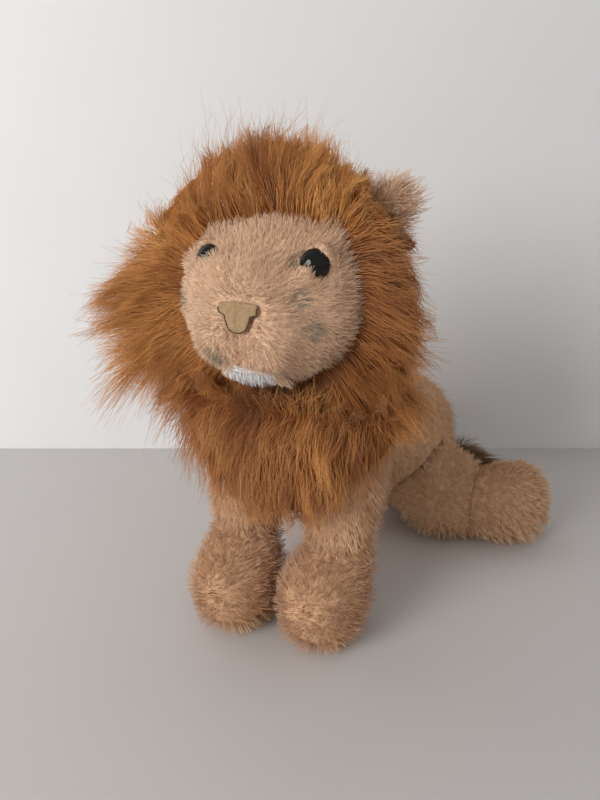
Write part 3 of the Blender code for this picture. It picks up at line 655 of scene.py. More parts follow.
# A strand finish's second and third colours are the painted shade of its roots and the painted light of its
# tips
FINISHES = {
    "body strands": strand_finish("body pile", BODY_TINTS, (0.70, 0.60, 0.53), (1.08, 1.08, 1.10)),
    "face strands": strand_finish("face pile", FACE_TINTS, (0.78, 0.70, 0.64), (1.08, 1.09, 1.10)),
    "mane strands": strand_finish(
        "mane hair", MANE_TINTS, (0.62, 0.55, 0.50), (1.18, 1.30, 1.45), 0.40, 0.50, 0.55, 0.15
    ),
    "tuft strands": strand_finish(
        "tuft hair", TUFT_TINTS, (0.50, 0.45, 0.40), (1.30, 1.35, 1.40), 0.35, 0.60, 0.55, 0.10
    ),
    "chin strands": strand_finish("chin pile", CHIN_TINTS, (0.94, 0.93, 0.92), (1.0, 1.0, 1.0)),
    # The body's, mane's and tuft's under-coats are darker than their strands: painted shade between the
    # strands
    "body coat": cloth_finish("body under-coat", (0.50, 0.28, 0.16), (0.72, 0.46, 0.27)),
    "face coat": cloth_finish("face under-coat", (0.60, 0.38, 0.25), (0.80, 0.55, 0.37)),
    "mane coat": cloth_finish(
        "mane under-coat", (0.22, 0.065, 0.014), (0.42, 0.145, 0.034), tuft=0.006, grain=0.0012
    ),
    "tuft coat": cloth_finish("tuft under-coat", (0.035, 0.018, 0.010), (0.085, 0.045, 0.022)),
    "chin coat": cloth_finish("chin under-coat", (0.84, 0.83, 0.82), (0.93, 0.93, 0.92)),
    "nose": cloth_finish(
        "nose cloth", (0.31, 0.205, 0.110), (0.41, 0.285, 0.160), 0.72, 0.0022, 0.00030, 0.00010
    ),
    "thread": cloth_finish(
        "nose thread", (0.055, 0.030, 0.018), (0.120, 0.070, 0.045), 0.60, 0.0015, 0.00020, 0.00005
    ),
    "eye": plastic_finish("eye plastic", (0.003, 0.003, 0.003), (0.006, 0.005, 0.004), 0.050),
    "washer": plastic_finish("washer plastic", (0.76, 0.76, 0.74), (0.84, 0.84, 0.82), 0.45),
}


# Strands

STRAND_SIDES = 3
LOCK_GAIN = 4.0  # lifts the noise's small swing to a lock's bend
WAVE_GAIN = 4.0
WAVE_SCALE = 2.2  # waves to a lock
CLUMP_POWER = 1.4
# Where strands lie on the OFBake map, as shares of it
MAP_MARGIN_SHARE = 0.01
MAP_WIDTH_SHARE = 0.96
MAP_SIDE_SHARE = 0.006
MAP_HEIGHT_SHARE = 0.95
MAP_MIDDLE_SHARE = 0.02
# What the tree leaves on a mesh, and no piece needs
STRAND_VALUES = (
    "cover", "pile", "tint", "root", "chance", "leaving", "falling", "outward", "along", "side",
)


def fur_tree():
    """Geometry nodes that grow strands from a coat.

    The coat's points say how closely strands stand (cover), how long they are (pile), which way
    they leave the cloth and which way their tips lie (leaving, falling), their tint, and which
    way is out (outward).
    """
    tree = bpy.data.node_groups.new("pile strands", "GeometryNodeTree")
    sockets = tree.interface
    sockets.new_socket("Surface", in_out="INPUT", socket_type="NodeSocketGeometry")
    for name in ("Density", "Width", "Tip", "Lock Size", "Lock Bend", "Clump Size", "Clump Pull"):
        sockets.new_socket(name, in_out="INPUT", socket_type="NodeSocketFloat")
    for name in ("Stray", "Length Spread", "Tint Spread", "Wave", "Floor"):
        sockets.new_socket(name, in_out="INPUT", socket_type="NodeSocketFloat")
    for name in ("Points", "Seed"):
        sockets.new_socket(name, in_out="INPUT", socket_type="NodeSocketInt")
    sockets.new_socket("Finish", in_out="INPUT", socket_type="NodeSocketMaterial")
    sockets.new_socket("Strands", in_out="OUTPUT", socket_type="NodeSocketGeometry")
    given = tree.nodes.new("NodeGroupInput").outputs
    out = tree.nodes.new("NodeGroupOutput").inputs

    def attribute(name, kind="FLOAT"):
        made = node(tree, "GeometryNodeInputNamedAttribute", {"Name": name}, data_type=kind)
        return next(s for s in made.outputs if s.name == "Attribute" and s.enabled)

    def stored(geometry, name, value, kind, domain="POINT"):
        wires = {"Geometry": geometry, "Name": name, "Value": value}
        kinds = {"data_type": kind, "domain": domain}
        return node(tree, "GeometryNodeStoreNamedAttribute", wires, **kinds).outputs[0]

    def added(first, second):
        return node(tree, "ShaderNodeVectorMath", {0: first, 1: second}, operation="ADD").outputs[0]

    def taken(first, second):
        return node(tree, "ShaderNodeVectorMath", {0: first, 1: second}, operation="SUBTRACT").outputs[0]

    def scaled(way, share):
        return node(tree, "ShaderNodeVectorMath", {0: way, "Scale": share}, operation="SCALE").outputs[0]

    # Roots
    density = maths(tree, "MULTIPLY", attribute("cover"), given["Density"])
    scatter = node(
        tree,
        "GeometryNodeDistributePointsOnFaces",
        {"Mesh": given["Surface"], "Density": density, "Seed": given["Seed"]},
        distribute_method="RANDOM",
    )
    roots = stored(
        scatter.outputs["Points"], "root", node(tree, "GeometryNodeInputPosition").outputs[0], "FLOAT_VECTOR"
    )
    chance = node(
        tree,
        "FunctionNodeRandomValue",
        {"Min": (-1.0, -1.0, -1.0), "Max": (1.0, 1.0, 1.0), "Seed": given["Seed"]},
        data_type="FLOAT_VECTOR",
    )
    roots = stored(roots, "chance", chance.outputs[0], "FLOAT_VECTOR")
    guide = node(tree, "GeometryNodeCurvePrimitiveLine").outputs[0]
    guide = node(tree, "GeometryNodeResampleCurve", {"Curve": guide, "Count": given["Points"]}).outputs[0]
    strands = node(tree, "GeometryNodeInstanceOnPoints", {"Points": roots, "Instance": guide}).outputs[0]
    strands = node(tree, "GeometryNodeRealizeInstances", {"Geometry": strands}).outputs[0]

    # The path of each strand
    along = node(tree, "GeometryNodeSplineParameter").outputs["Factor"]
    root = attribute("root", "FLOAT_VECTOR")
    leaving = attribute("leaving", "FLOAT_VECTOR")
    falling = attribute("falling", "FLOAT_VECTOR")
    outward = attribute("outward", "FLOAT_VECTOR")
    luck = attribute("chance", "FLOAT_VECTOR")
    lots = node(tree, "ShaderNodeSeparateXYZ", {0: luck}).outputs
    spread = maths(tree, "MULTIPLY_ADD", lots["X"], given["Length Spread"], 1.0)
    length = maths(tree, "MULTIPLY", attribute("pile"), spread)
    lock_scale = maths(tree, "DIVIDE", 1.0, given["Lock Size"])
    lock = node(tree, "ShaderNodeTexNoise", {"Vector": root, "Scale": lock_scale, "Detail": 1.0})
    lock_bend = maths(tree, "MULTIPLY", given["Lock Bend"], LOCK_GAIN)
    lock_way = scaled(taken(lock.outputs["Color"], (0.5, 0.5, 0.5)), lock_bend)
    turned = added(added(falling, lock_way), scaled(luck, given["Stray"]))
    half_square = maths(tree, "MULTIPLY", maths(tree, "POWER", along, 2.0), 0.5)
    sweep = added(scaled(leaving, along), scaled(taken(turned, leaving), half_square))
    clump_scale = maths(tree, "DIVIDE", 1.0, given["Clump Size"])
    cells = node(tree, "ShaderNodeTexVoronoi", {"Vector": root, "Scale": clump_scale})
    to_clump = taken(cells.outputs["Position"], root)
    off = node(tree, "ShaderNodeVectorMath", {0: to_clump, 1: outward}, operation="DOT_PRODUCT")
    to_clump = taken(to_clump, scaled(outward, off.outputs["Value"]))
    pull = maths(tree, "MULTIPLY", maths(tree, "POWER", along, CLUMP_POWER), given["Clump Pull"])
    place = added(added(root, scaled(sweep, length)), scaled(to_clump, pull))
    wave_scale = maths(tree, "DIVIDE", WAVE_SCALE, given["Lock Size"])
    wave = node(tree, "ShaderNodeTexNoise", {"Vector": place, "Scale": wave_scale, "Detail": 2.0})
    wave_way = taken(wave.outputs["Color"], (0.5, 0.5, 0.5))
    wave_reach = maths(tree, "MULTIPLY", maths(tree, "MULTIPLY", along, given["Wave"]), WAVE_GAIN)
    place = added(place, scaled(wave_way, wave_reach))
    axes = node(tree, "ShaderNodeSeparateXYZ", {0: place}).outputs
    lifted = maths(tree, "MAXIMUM", axes["Z"], given["Floor"])
    place = node(tree, "ShaderNodeCombineXYZ", {0: axes["X"], 1: axes["Y"], 2: lifted}).outputs[0]
    strands = stored(strands, "along", along, "FLOAT")
    strands = node(tree, "GeometryNodeSetPosition", {"Geometry": strands, "Position": place}).outputs[0]

    # Thickness, and where each strand lies on the map
    taper = node(tree, "ShaderNodeMapRange", {"Value": along, "To Min": 1.0, "To Max": given["Tip"]})
    radius = maths(tree, "MULTIPLY", maths(tree, "MULTIPLY", given["Width"], 0.5), taper.outputs[0])
    ring = {"Resolution": STRAND_SIDES, "Radius": 1.0}
    section = node(tree, "GeometryNodeCurvePrimitiveCircle", ring).outputs[0]
    number = node(tree, "GeometryNodeInputIndex").outputs[0]
    section = stored(section, "side", number, "FLOAT")
    strands = node(
        tree,
        "GeometryNodeCurveToMesh",
        {"Curve": strands, "Profile Curve": section, "Scale": radius, "Fill Caps": True},
    ).outputs[0]
    side = attribute("side")
    tinted = maths(tree, "MULTIPLY_ADD", lots["Y"], given["Tint Spread"], attribute("tint"))
    column = node(tree, "ShaderNodeClamp", {"Value": tinted}).outputs[0]
    column = maths(tree, "MULTIPLY_ADD", column, MAP_WIDTH_SHARE, MAP_MARGIN_SHARE)
    column = maths(tree, "MULTIPLY_ADD", side, MAP_SIDE_SHARE, column)
    middle = maths(tree, "COMPARE", side, 1.0, 0.1)
    height = maths(tree, "MULTIPLY_ADD", attribute("along"), MAP_HEIGHT_SHARE, MAP_MARGIN_SHARE)
    height = maths(tree, "MULTIPLY_ADD", middle, MAP_MIDDLE_SHARE, height)
    spot = node(tree, "ShaderNodeCombineXYZ", {0: column, 1: height}).outputs[0]
    strands = stored(strands, "OFBake", spot, "FLOAT2", "CORNER")
    strands = node(tree, "GeometryNodeRealizeInstances", {"Geometry": strands}).outputs[0]
    strands = node(
        tree, "GeometryNodeSetMaterial", {"Geometry": strands, "Material": given["Finish"]}
    ).outputs[0]
    tree.links.new(strands, out["Strands"])
    return tree


FUR = fur_tree()


def put(data, name, rows):
    """Gives a mesh a value or a direction at each point."""
    kind, key = ("FLOAT_VECTOR", "vector") if rows.ndim == 2 else ("FLOAT", "value")
    made = data.attributes.get(name) or data.attributes.new(name, kind, "POINT")
    made.data.foreach_set(key, rows.astype(np.float32).ravel())


def made_by_nodes(helper, tree, values):
    """The plain mesh that a node tree makes of a helper object, which is then removed."""
    maker = helper.modifiers.new("maker", "NODES")
    maker.node_group = tree
    for item in tree.interface.items_tree:
        if item.item_type == "SOCKET" and item.in_out == "INPUT" and item.name in values:
            maker[item.identifier] = values[item.name]
    made = evaluated(helper)
    helper.modifiers.remove(maker)
    bpy.data.objects.remove(helper)
    return made


def add_piece(name, data, body):
    """A finished piece, which rides on a body of the model."""
    data.shade_smooth()
    piece = add_object(name, data)
    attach(piece, body)
    return piece


def grow(kind, coat, fields, body, finish="body strands", pile=SHORT, side=None):
    """Grows one piece of strands from a coat. Fields hold what fur_tree reads at each point."""
    name = kind
    count, seed = STRANDS[kind]
    if side:
        name = kind + "_" + side
        seed += int(SIDES[side])
    data = coat.data.copy()
    helper = add_object(name + "_roots", data)
    normals = normals_of(data)
    lift = fields["lift"].reshape(-1, 1)
    comb = tangential(fields["comb"], normals)
    put(data, "outward", normals)
    put(data, "leaving", unit(normals * (LEAVING_LIFT + lift) + comb * (1 - lift)))
    put(data, "falling", normals * lift + comb * (1 - lift) + fields["fall"])
    for key in ("cover", "pile", "tint"):
        put(data, key, fields[key])
    values = {key.replace("_", " ").title(): value for key, value in pile._asdict().items()}
    values["Density"] = count / covered_area(data, fields["cover"])
    values["Floor"] = STRAND_CLEAR
    values["Seed"] = seed
    values["Finish"] = FINISHES[finish]
    made = made_by_nodes(helper, FUR, values)
    for left_over in [a.name for a in made.attributes if a.name in STRAND_VALUES]:
        made.attributes.remove(made.attributes[left_over])
    add_piece(name, made, body)


def covered_area(data, cover):
    """The area that strands stand on, each face counted by its cover."""
    areas = np.empty(len(data.polygons), np.float32)
    data.polygons.foreach_get("area", areas)
    shares = np.array([np.mean([cover[k] for k in face.vertices]) for face in data.polygons])
    return float(np.sum(areas * shares))


def add_coat(name, data, finish, body, nodes):
    """An under-coat, which stands for the stuffed solids of the model that it covers."""
    data.materials.clear()
    data.materials.append(FINISHES[finish])
    coat = add_piece(name, data, body)
    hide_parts(*nodes)
    return coat


def plain_fields(
    coat, comb=(0.0, 0.0, 1.0), lift=0.45, pile=SHORT_PILE, tint=0.5, fall=(0.0, 0.0, -0.10),
    patches=BODY_PATCHES,
):
    """The same pile all over, combed one way."""
    count = len(coat.data.vertices)
    rows = points_of(coat.data)
    return {
        "comb": np.broadcast_to(np.array(comb, float), (count, 3)).copy(),
        "fall": np.broadcast_to(np.array(fall, float), (count, 3)).copy(),
        "lift": np.full(count, lift),
        "pile": np.full(count, pile) * mottled(rows, 1, PILE_PATCHES),
        "tint": mottled(rows, tint, patches),
        "cover": np.ones(count),
    }


def thin_near(fields, rows, tree, bare, full):
    """Takes strands away where another piece covers the cloth, and shortens them beside it."""
    away = signed_distance(rows, tree)
    share = smooth_step(away, bare, full)
    fields["cover"] *= share
    fields["pile"] *= 0.55 + 0.45 * share


# The stuffed pieces


def whole_surface(nodes, voxel=COAT_VOXEL, rounds=3):
    return remeshed(joined_nodes(nodes), voxel, rounds)


def parted(data, point, normal):
    """The part of a closed mesh behind a plane, closed again."""
    mesh = bmesh.new()
    mesh.from_mesh(data)
    everything = list(mesh.verts) + list(mesh.edges) + list(mesh.faces)
    bmesh.ops.bisect_plane(mesh, geom=everything, plane_co=point, plane_no=normal, clear_outer=True)
    rim = [edge for edge in mesh.edges if edge.is_boundary]
    bmesh.ops.holes_fill(mesh, edges=rim, sides=0)
    bmesh.ops.triangulate(mesh, faces=[f for f in mesh.faces if len(f.verts) > 4])
    bmesh.ops.recalc_face_normals(mesh, faces=mesh.faces)
    made = bpy.data.meshes.new("parted")
    mesh.to_mesh(made)
    mesh.free()
    return made


def eye_line(name):
    """The front of an eye's dome and the way it looks."""
    rows = points_of(frame["nodes"]["eye_" + name].data)
    centre = rows.mean(axis=0)
    _, _, axes = np.linalg.svd(rows - centre, full_matrices=False)
    axis = axes[0] if axes[0][1] < 0 else -axes[0]
    pole = centre + axis * ((rows - centre) @ axis).max()
    return Vector(pole), Vector(axis).normalized()


def finish_node(name, finish):
    """Gives one of the model's own solids its finish."""
    for place in frame["nodes"][name].material_slots:
        place.material = FINISHES[finish]


def meet_share(data, names):
    """Zero where a coat lies against another piece's cloth, and one away from it."""
    tree = solids_tree(*names)
    away = np.array([tree.find_nearest(Vector(row))[3] for row in points_of(data)])
    return smooth_step(away, *MEET_SPAN)


def build_torso():
    nodes = ["torso_skin", "torso_stuffing", "seat_pellet_bag"]
    data = whole_surface(nodes)
    meeting = meet_share(data, ["thigh_skin_left", "thigh_skin_right"])
    data = sunk(data, depths_above_floor(data, COAT_DEPTH) * meeting)
    return add_coat("torso_coat", data, "body coat", "torso", nodes)


def ankle_share(data):
    """One along the crease over a forepaw, and zero away from it."""
    front = smooth_step(-normals_of(data)[:, 1], *ANKLE_FRONT_SPAN)
    return front * bell(points_of(data)[:, 2], ANKLE_HEIGHT, ANKLE_REACH)


def build_foreleg(name):
    nodes = ["foreleg_skin_" + name, "foreleg_stuffing_" + name]
    data = whole_surface(nodes)
    crease = ANKLE_DEPTH * ankle_share(data)
    data = sunk(data, depths_above_floor(data, COAT_DEPTH) + crease)
    return add_coat("foreleg_coat_" + name, data, "body coat", "torso", nodes)


def build_hind_leg(name, side):
    """The thigh and the foot, sewn to each other along an upright seam."""
    hip = Vector(JOINTS["hip_" + name]["pos_m"])
    out = Vector((side, 0, 0))
    seam = hip + out * LEG_SEAM_PLACE
    nodes = ["thigh_skin_" + name, "hind_foot_skin_" + name, "hind_leg_stuffing_" + name]
    data = whole_surface(nodes)
    rows = points_of(data)
    depths = depths_above_floor(data, COAT_DEPTH) * meet_share(data, ["torso_skin"])
    beside = np.abs(rows[:, 0] - seam.x)
    hollow = LEG_SEAM_DEPTH * (1 - smooth_step(beside, 0.0, LEG_SEAM_HALF_WIDTH))
    depths += hollow * smooth_step(rows[:, 2], *LEG_SEAM_HEIGHT_SPAN)
    data = sunk(data, depths)
    body = "hind_leg_" + name
    thigh = parted(data, seam, out)
    foot = parted(data, seam + out * SEAM_GAP, -out)
    thigh = add_coat("thigh_coat_" + name, thigh, "body coat", body, [nodes[0], nodes[2]])
    foot = add_coat("hind_foot_coat_" + name, foot, "body coat", body, [nodes[1]])
    return thigh, foot


def build_tail():
    nodes = ["tail_skin", "tail_stuffing"]
    data = whole_surface(nodes)
    data = sunk(data, depths_above_floor(data, TAIL_DEPTH))
    tail = add_coat("tail_coat", data, "body coat", "tail", nodes)
    data = whole_surface(["tail_tuft"])
    data = sunk(data, depths_above_floor(data, TUFT_DEPTH), 4)
    tuft = add_coat("tail_tuft_base", data, "tuft coat", "tail", ["tail_tuft"])
    return tail, tuft


def build_face():
    nodes = ["face_skin", "head_stuffing"]
    data = whole_surface(nodes + ["chin_patch"])
    rows = points_of(data)
    depths = np.full(len(rows), FACE_DEPTH)
    for centre, radius, height in FACE_FORMS:
        away = np.linalg.norm(rows - np.array(centre), axis=1)
        depths -= height * bell(away, 0.0, radius)
    depths += MOUTH_DEPTH * mouth_share(rows)
    for name, side in SIDES.items():
        reach, across, _ = lid_places(rows, name, side)
        depths -= LID_HEIGHT * across * bell(reach, LID_CREST, LID_WIDTH)
    data = sunk(data, depths)
    return add_coat("face_coat", data, "face coat", "head", nodes)


def lid_places(rows, name, side):
    """How far points lie from an eye's axis, how much they lie where a lid is, and the way in."""
    pole, axis = eye_line(name)
    axis = np.array(axis)
    offset = rows - np.array(pole)
    ahead = offset @ axis
    offset = offset - ahead.reshape(-1, 1) * axis
    reach = np.linalg.norm(offset, axis=1)
    outer = unit(np.array((side, 0.0, 0.0)) - axis * axis[0] * side)
    up = np.cross(axis, outer) * side
    up = up if up[2] > 0 else -up
    lid = up * math.cos(LID_SLANT) + outer * math.sin(LID_SLANT)
    across = ((offset @ lid) / np.maximum(reach, 1e-6)) ** 2
    return reach, across * (np.abs(ahead) < LID_AXIS_REACH), -offset


def mouth_share(rows):
    """One along the mouth's seam, which runs down from the nose, and zero away from it."""
    x, y, z = rows.T
    share = bell(x, MOUTH_PLACE, MOUTH_HALF_WIDTH) * (y < NOSE_CENTRE.y + MOUTH_BACK)
    share *= smooth_step(z, MOUTH_LOW - MOUTH_LOW_EASE, MOUTH_LOW + MOUTH_LOW_EASE)
    return share * (1 - smooth_step(z, MOUTH_TOP, MOUTH_TOP + MOUTH_TOP_EASE))


def build_chin():
    data = whole_surface(["chin_patch"], CHIN_VOXEL)
    data = sunk(data, np.full(len(data.vertices), CHIN_DEPTH))
    return add_coat("chin_coat", data, "chin coat", "head", ["chin_patch"])


def build_ear(name):
    data = whole_surface(["ear_" + name], EAR_VOXEL)
    data = sunk(data, np.full(len(data.vertices), EAR_DEPTH))
    return add_coat("ear_coat_" + name, data, "face coat", "head", ["ear_" + name])


def build_mane_base(head_tree):
    """The cloth under the long hair of the head, drawn in under the face's."""
    data = whole_surface(["mane_hood", "face_skin", "head_stuffing"], MANE_VOXEL, 4)
    away = np.abs(signed_distance(points_of(data), head_tree))
    left = smooth_step(points_of(data)[:, 0], *HOOD_LEFT_SPAN)
    depths = HOOD_DEPTH + HOOD_LEFT_DEPTH * smooth_step(away, *HOOD_SEAM_SPAN) * left
    data = sunk(data, depths, 6)
    return add_coat("mane_base", data, "mane coat", "head", ["mane_hood"])


def build_bib_base(body_tree):
    data = whole_surface(["mane_bib"], MANE_VOXEL, 4)
    away = np.abs(signed_distance(points_of(data), body_tree))
    depths = BIB_DEPTH + BIB_LEFT_DEPTH * smooth_step(points_of(data)[:, 0], *BIB_LEFT_SPAN)
    depths = depths + NECK_DEPTH * smooth_step(points_of(data)[:, 2], *NECK_HEIGHT_SPAN)
    data = sunk(data, depths * smooth_step(away, *BIB_MEET_SPAN), 4)
    return add_coat("bib_base", data, "mane coat", "torso", ["mane_bib"])


# Pile of each piece

# How far from another piece's cloth a coat's strands start and stand full
TORSO_LEG_SPAN = (-0.0005, 0.0035)
TORSO_BIB_SPAN = (-0.004, 0.002)
FORELEG_TORSO_SPAN = (-0.001, 0.003)
FORELEG_BIB_SPAN = (-0.006, 0.0)
THIGH_TORSO_SPAN = (-0.006, -0.001)
TAIL_TORSO_SPAN = (0.0, 0.004)
FACE_NOSE_SPAN = (0.0004, 0.0024)
FACE_EYE_SPAN = (0.0002, 0.0012)
FACE_CHIN_SPAN = (-0.001, 0.0005)
MANE_FACE_SPAN = (-0.0015, 0.0010)
MANE_CHIN_SPAN = (0.001, 0.004)
EAR_COVER_SPAN = (0.002, 0.012)
BIB_COVER_SPAN = (-0.0065, -0.0025)

# Paws, hind legs and tail
PAW_HEIGHT_SPAN = (0.040, 0.062)
PAW_ROOT_BACK = 0.030  # behind the toes, of the point that a paw's pile spreads from
PAW_ROOT_HEIGHT = 0.026
PAW_SHIFT = (0.0, 0.006, 0.010)
LEG_SEAM_SHADE_SPAN = (0.001, 0.006)
LEG_SEAM_PILE_SPAN = (0.0, 0.011)
LEG_SEAM_COVER_SPAN = (-0.0001, 0.0008)
THIGH_ROOT_OUT = 0.004  # from the hip, of the point that the thigh's pile spreads from
THIGH_ROOT_AHEAD = -0.030
TUFT_ROOT_BACK = 0.006
TUFT_ROOT_HEIGHT = 0.014

# Face
MUZZLE_TOP = 0.212
MUZZLE_EASE = 0.012
MUZZLE_AHEAD_SPAN = (0.195, 0.205)
NOSE_COMB_SHIFT = (0.0, 0.004, 0.0)
FACE_EDGE_SPAN = (-0.190, -0.166)
CORNER_HEIGHT_SPAN = (0.205, 0.228)
CORNER_SIDE_SPAN = (0.014, 0.032)
FACE_RIGHT_SPAN = (0.030, 0.045)
FACE_BACK_SPAN = (-0.166, -0.160)
SMUDGE_AND_SHADE_TINT = 0.03

# Mane
HEAD_MIDDLE = (0.0, 0.0, 0.197)
THROAT_TOP = 0.180
THROAT_EASE = 0.022
CROWN_SPAN = (0.218, 0.240)
CROWN_SHORT_SPAN = (0.236, 0.262)
SWEEP_SIDE_SPAN = (0.045, 0.075)  # where the hair is brushed out to the toy's right
SWEEP_TOP = 0.222
SWEEP_EASE = 0.030
DROP_SIDE_SPAN = (0.020, 0.055)  # where it hangs down at the toy's left
DROP_BACK_SPAN = (-0.185, -0.160)
LEFT_SHADE_SPAN = (0.020, 0.060)
LOW_LEFT_SIDE_SPAN = (0.030, 0.060)
LOW_LEFT_HEIGHT_SPAN = (0.165, 0.190)
EAR_PILE_SPAN = (0.008, 0.030)
NOTCH_PLACE = -0.062
NOTCH_REACH = 0.014
NOTCH_HEIGHT_SPAN = (0.202, 0.220)
PEAK_PLACE = -0.038
PEAK_REACH = 0.011
PEAK_HEIGHT_SPAN = (0.225, 0.240)
BARE_HALF_WIDTH = 0.020  # over the mouth, where no hair of the mane grows
BARE_LOW = 0.170
BARE_BACK = -0.183
WISP_LEFT_SPAN = (0.030, 0.060)
WISP_PEAK_PLACE = -0.044
WISP_PEAK_REACH = 0.010

# Bib
BIB_HEIGHT_SPAN = (0.074, 0.145)
BIB_EDGE_SPAN = (0.0, 0.012)
BIB_ASIDE_SPAN = (0.035, 0.060)
BIB_RIM_SPAN = (0.128, 0.142)
BIB_FRONT = -0.150


def grow_torso(coat, trees):
    fields = plain_fields(coat, (0.0, 0.55, -1.0))
    rows = points_of(coat.data)
    thin_near(fields, rows, trees["legs"], *TORSO_LEG_SPAN)
    thin_near(fields, rows, trees["bib"], *TORSO_BIB_SPAN)
    grow("torso_pile", coat, fields, "torso")


def grow_foreleg(name, coat, trees):
    fields = plain_fields(coat, (0.0, -0.10, -1.0))
    rows = points_of(coat.data)
    box_low, box_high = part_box("foreleg_skin_" + name)
    toe = Vector(((box_low.x + box_high.x) / 2, box_low.y + PAW_ROOT_BACK, PAW_ROOT_HEIGHT))
    low = (1 - smooth_step(rows[:, 2], *PAW_HEIGHT_SPAN)).reshape(-1, 1)
    radial = unit(rows - np.array(toe) + np.array(PAW_SHIFT))
    fields["comb"] = fields["comb"] * (1 - low) + radial * low
    fields["lift"] = 0.42 + 0.22 * low[:, 0]
    crease = ankle_share(coat.data)
    # Painted shade in the crease over the paw; the leg is also a little darker all over, and more on the paw
    fields["tint"] -= 0.60 * crease + 0.06 + 0.16 * low[:, 0]
    fields["pile"] *= 1 - 0.35 * crease
    thin_near(fields, rows, trees["torso"], *FORELEG_TORSO_SPAN)
    thin_near(fields, rows, trees["bib"], *FORELEG_BIB_SPAN)
    grow("foreleg_pile", coat, fields, "torso", side=name)


def grow_hind_leg(name, thigh, foot, trees, side):
    body = "hind_leg_" + name
    hip = np.array(JOINTS["hip_" + name]["pos_m"])
    seam_x = hip[0] + side * LEG_SEAM_PLACE
    for coat, kind in ((thigh, "thigh_pile"), (foot, "hind_foot_pile")):
        rows = points_of(coat.data)
        pile = SHORT_PILE * LEG_PILE_SHARE
        fields = plain_fields(coat, (side, 0.10, -0.25), lift=0.55, pile=pile, tint=0.66)
        beside = np.abs(rows[:, 0] - seam_x)
        # Painted shade along the sunk seam between the thigh and the foot
        fields["tint"] -= 0.50 * (1 - smooth_step(beside, *LEG_SEAM_SHADE_SPAN))
        fields["pile"] *= 0.40 + 0.60 * smooth_step(beside, *LEG_SEAM_PILE_SPAN)
        fields["cover"] *= smooth_step(beside, *LEG_SEAM_COVER_SPAN)
        if coat is thigh:
            centre = hip + np.array((side * THIGH_ROOT_OUT, THIGH_ROOT_AHEAD, 0.0))
            fields["comb"] = unit(rows - centre)
            thin_near(fields, rows, trees["torso"], *THIGH_TORSO_SPAN)
        grow(kind, coat, fields, body, pile=HIND_LEG, side=name)


def grow_tail(tail, tuft, trees):
    fields = plain_fields(tail, (1.0, 0.0, 0.0), pile=TAIL_PILE)
    rows = points_of(tail.data)
    thin_near(fields, rows, trees["torso"], *TAIL_TORSO_SPAN)
    grow("tail_pile", tail, fields, "tail")
    rows = points_of(tuft.data)
    low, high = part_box("tail_tuft")
    root = np.array((low.x, (low.y + high.y) / 2 + TUFT_ROOT_BACK, TUFT_ROOT_HEIGHT))
    fields = plain_fields(tuft, pile=TUFT_PILE, tint=0.45)
    fields["comb"] = unit(rows - root) + np.array((0.9, -0.3, -0.3))
    grow("tail_tuft_hair", tuft, fields, "tail", "tuft strands", TUFT)


def face_fields(coat):
    """The face's pile spreads from the nose; its tints hold the smudges, painted shade on the muzzle, beside
    the nose and at the eyes' inner corners, and the mouth's seam.
    """
    rows = points_of(coat.data)
    fields = plain_fields(
        coat, lift=0.46, pile=FACE_PILE, tint=0.54, fall=(0.0, 0.0, 0.0), patches=FACE_PATCHES
    )
    # Painted shade: the face is darker below the top of the muzzle, the more so towards its front
    muzzle_shade = smooth_step(MUZZLE_TOP - rows[:, 2], 0.0, MUZZLE_EASE)
    fields["tint"] -= muzzle_shade * (0.10 + 0.10 * smooth_step(-rows[:, 1], *MUZZLE_AHEAD_SPAN))
    fields["comb"] = unit(rows - np.array(NOSE_CENTRE) + np.array(NOSE_COMB_SHIFT))
    edge = smooth_step(rows[:, 1], *FACE_EDGE_SPAN)
    corner = smooth_step(rows[:, 2], *CORNER_HEIGHT_SPAN)
    corner = corner * smooth_step(np.abs(rows[:, 0]), *CORNER_SIDE_SPAN)
    right = smooth_step(-rows[:, 0], *FACE_RIGHT_SPAN)
    fields["pile"] *= 1 + edge * (0.20 + 0.60 * corner + 0.80 * right)
    # Smudges, and painted shade beside the nose and at the eyes' inner corners
    for centre, radius, strength in SMUDGES_AND_SHADE:
        away = np.linalg.norm(rows - np.array(centre), axis=1)
        share = strength * (1 - smooth_step(away, 0.9 * radius, 1.7 * radius))
        fields["tint"] += share * (SMUDGE_AND_SHADE_TINT - fields["tint"])
    within = mouth_share(rows)
    fields["tint"] += np.clip(1.5 * within, 0, 1) * (1.0 - fields["tint"])
    fields["pile"] *= 1 - 0.60 * within
    for name, side in SIDES.items():
        reach, across, inwards = lid_places(rows, name, side)
        near = 1 - smooth_step(reach, LID_CREST + 0.5 * LID_WIDTH, LID_CREST + 2.0 * LID_WIDTH)
        share = (near * smooth_step(across, 0.15, 0.6)).reshape(-1, 1)
        fields["comb"] = fields["comb"] * (1 - share) + unit(inwards) * share
        fields["lift"] -= 0.30 * share[:, 0]
        fields["pile"] *= 1 - 0.30 * share[:, 0]
        fields["tint"] -= 0.16 * share[:, 0]
    return rows, fields


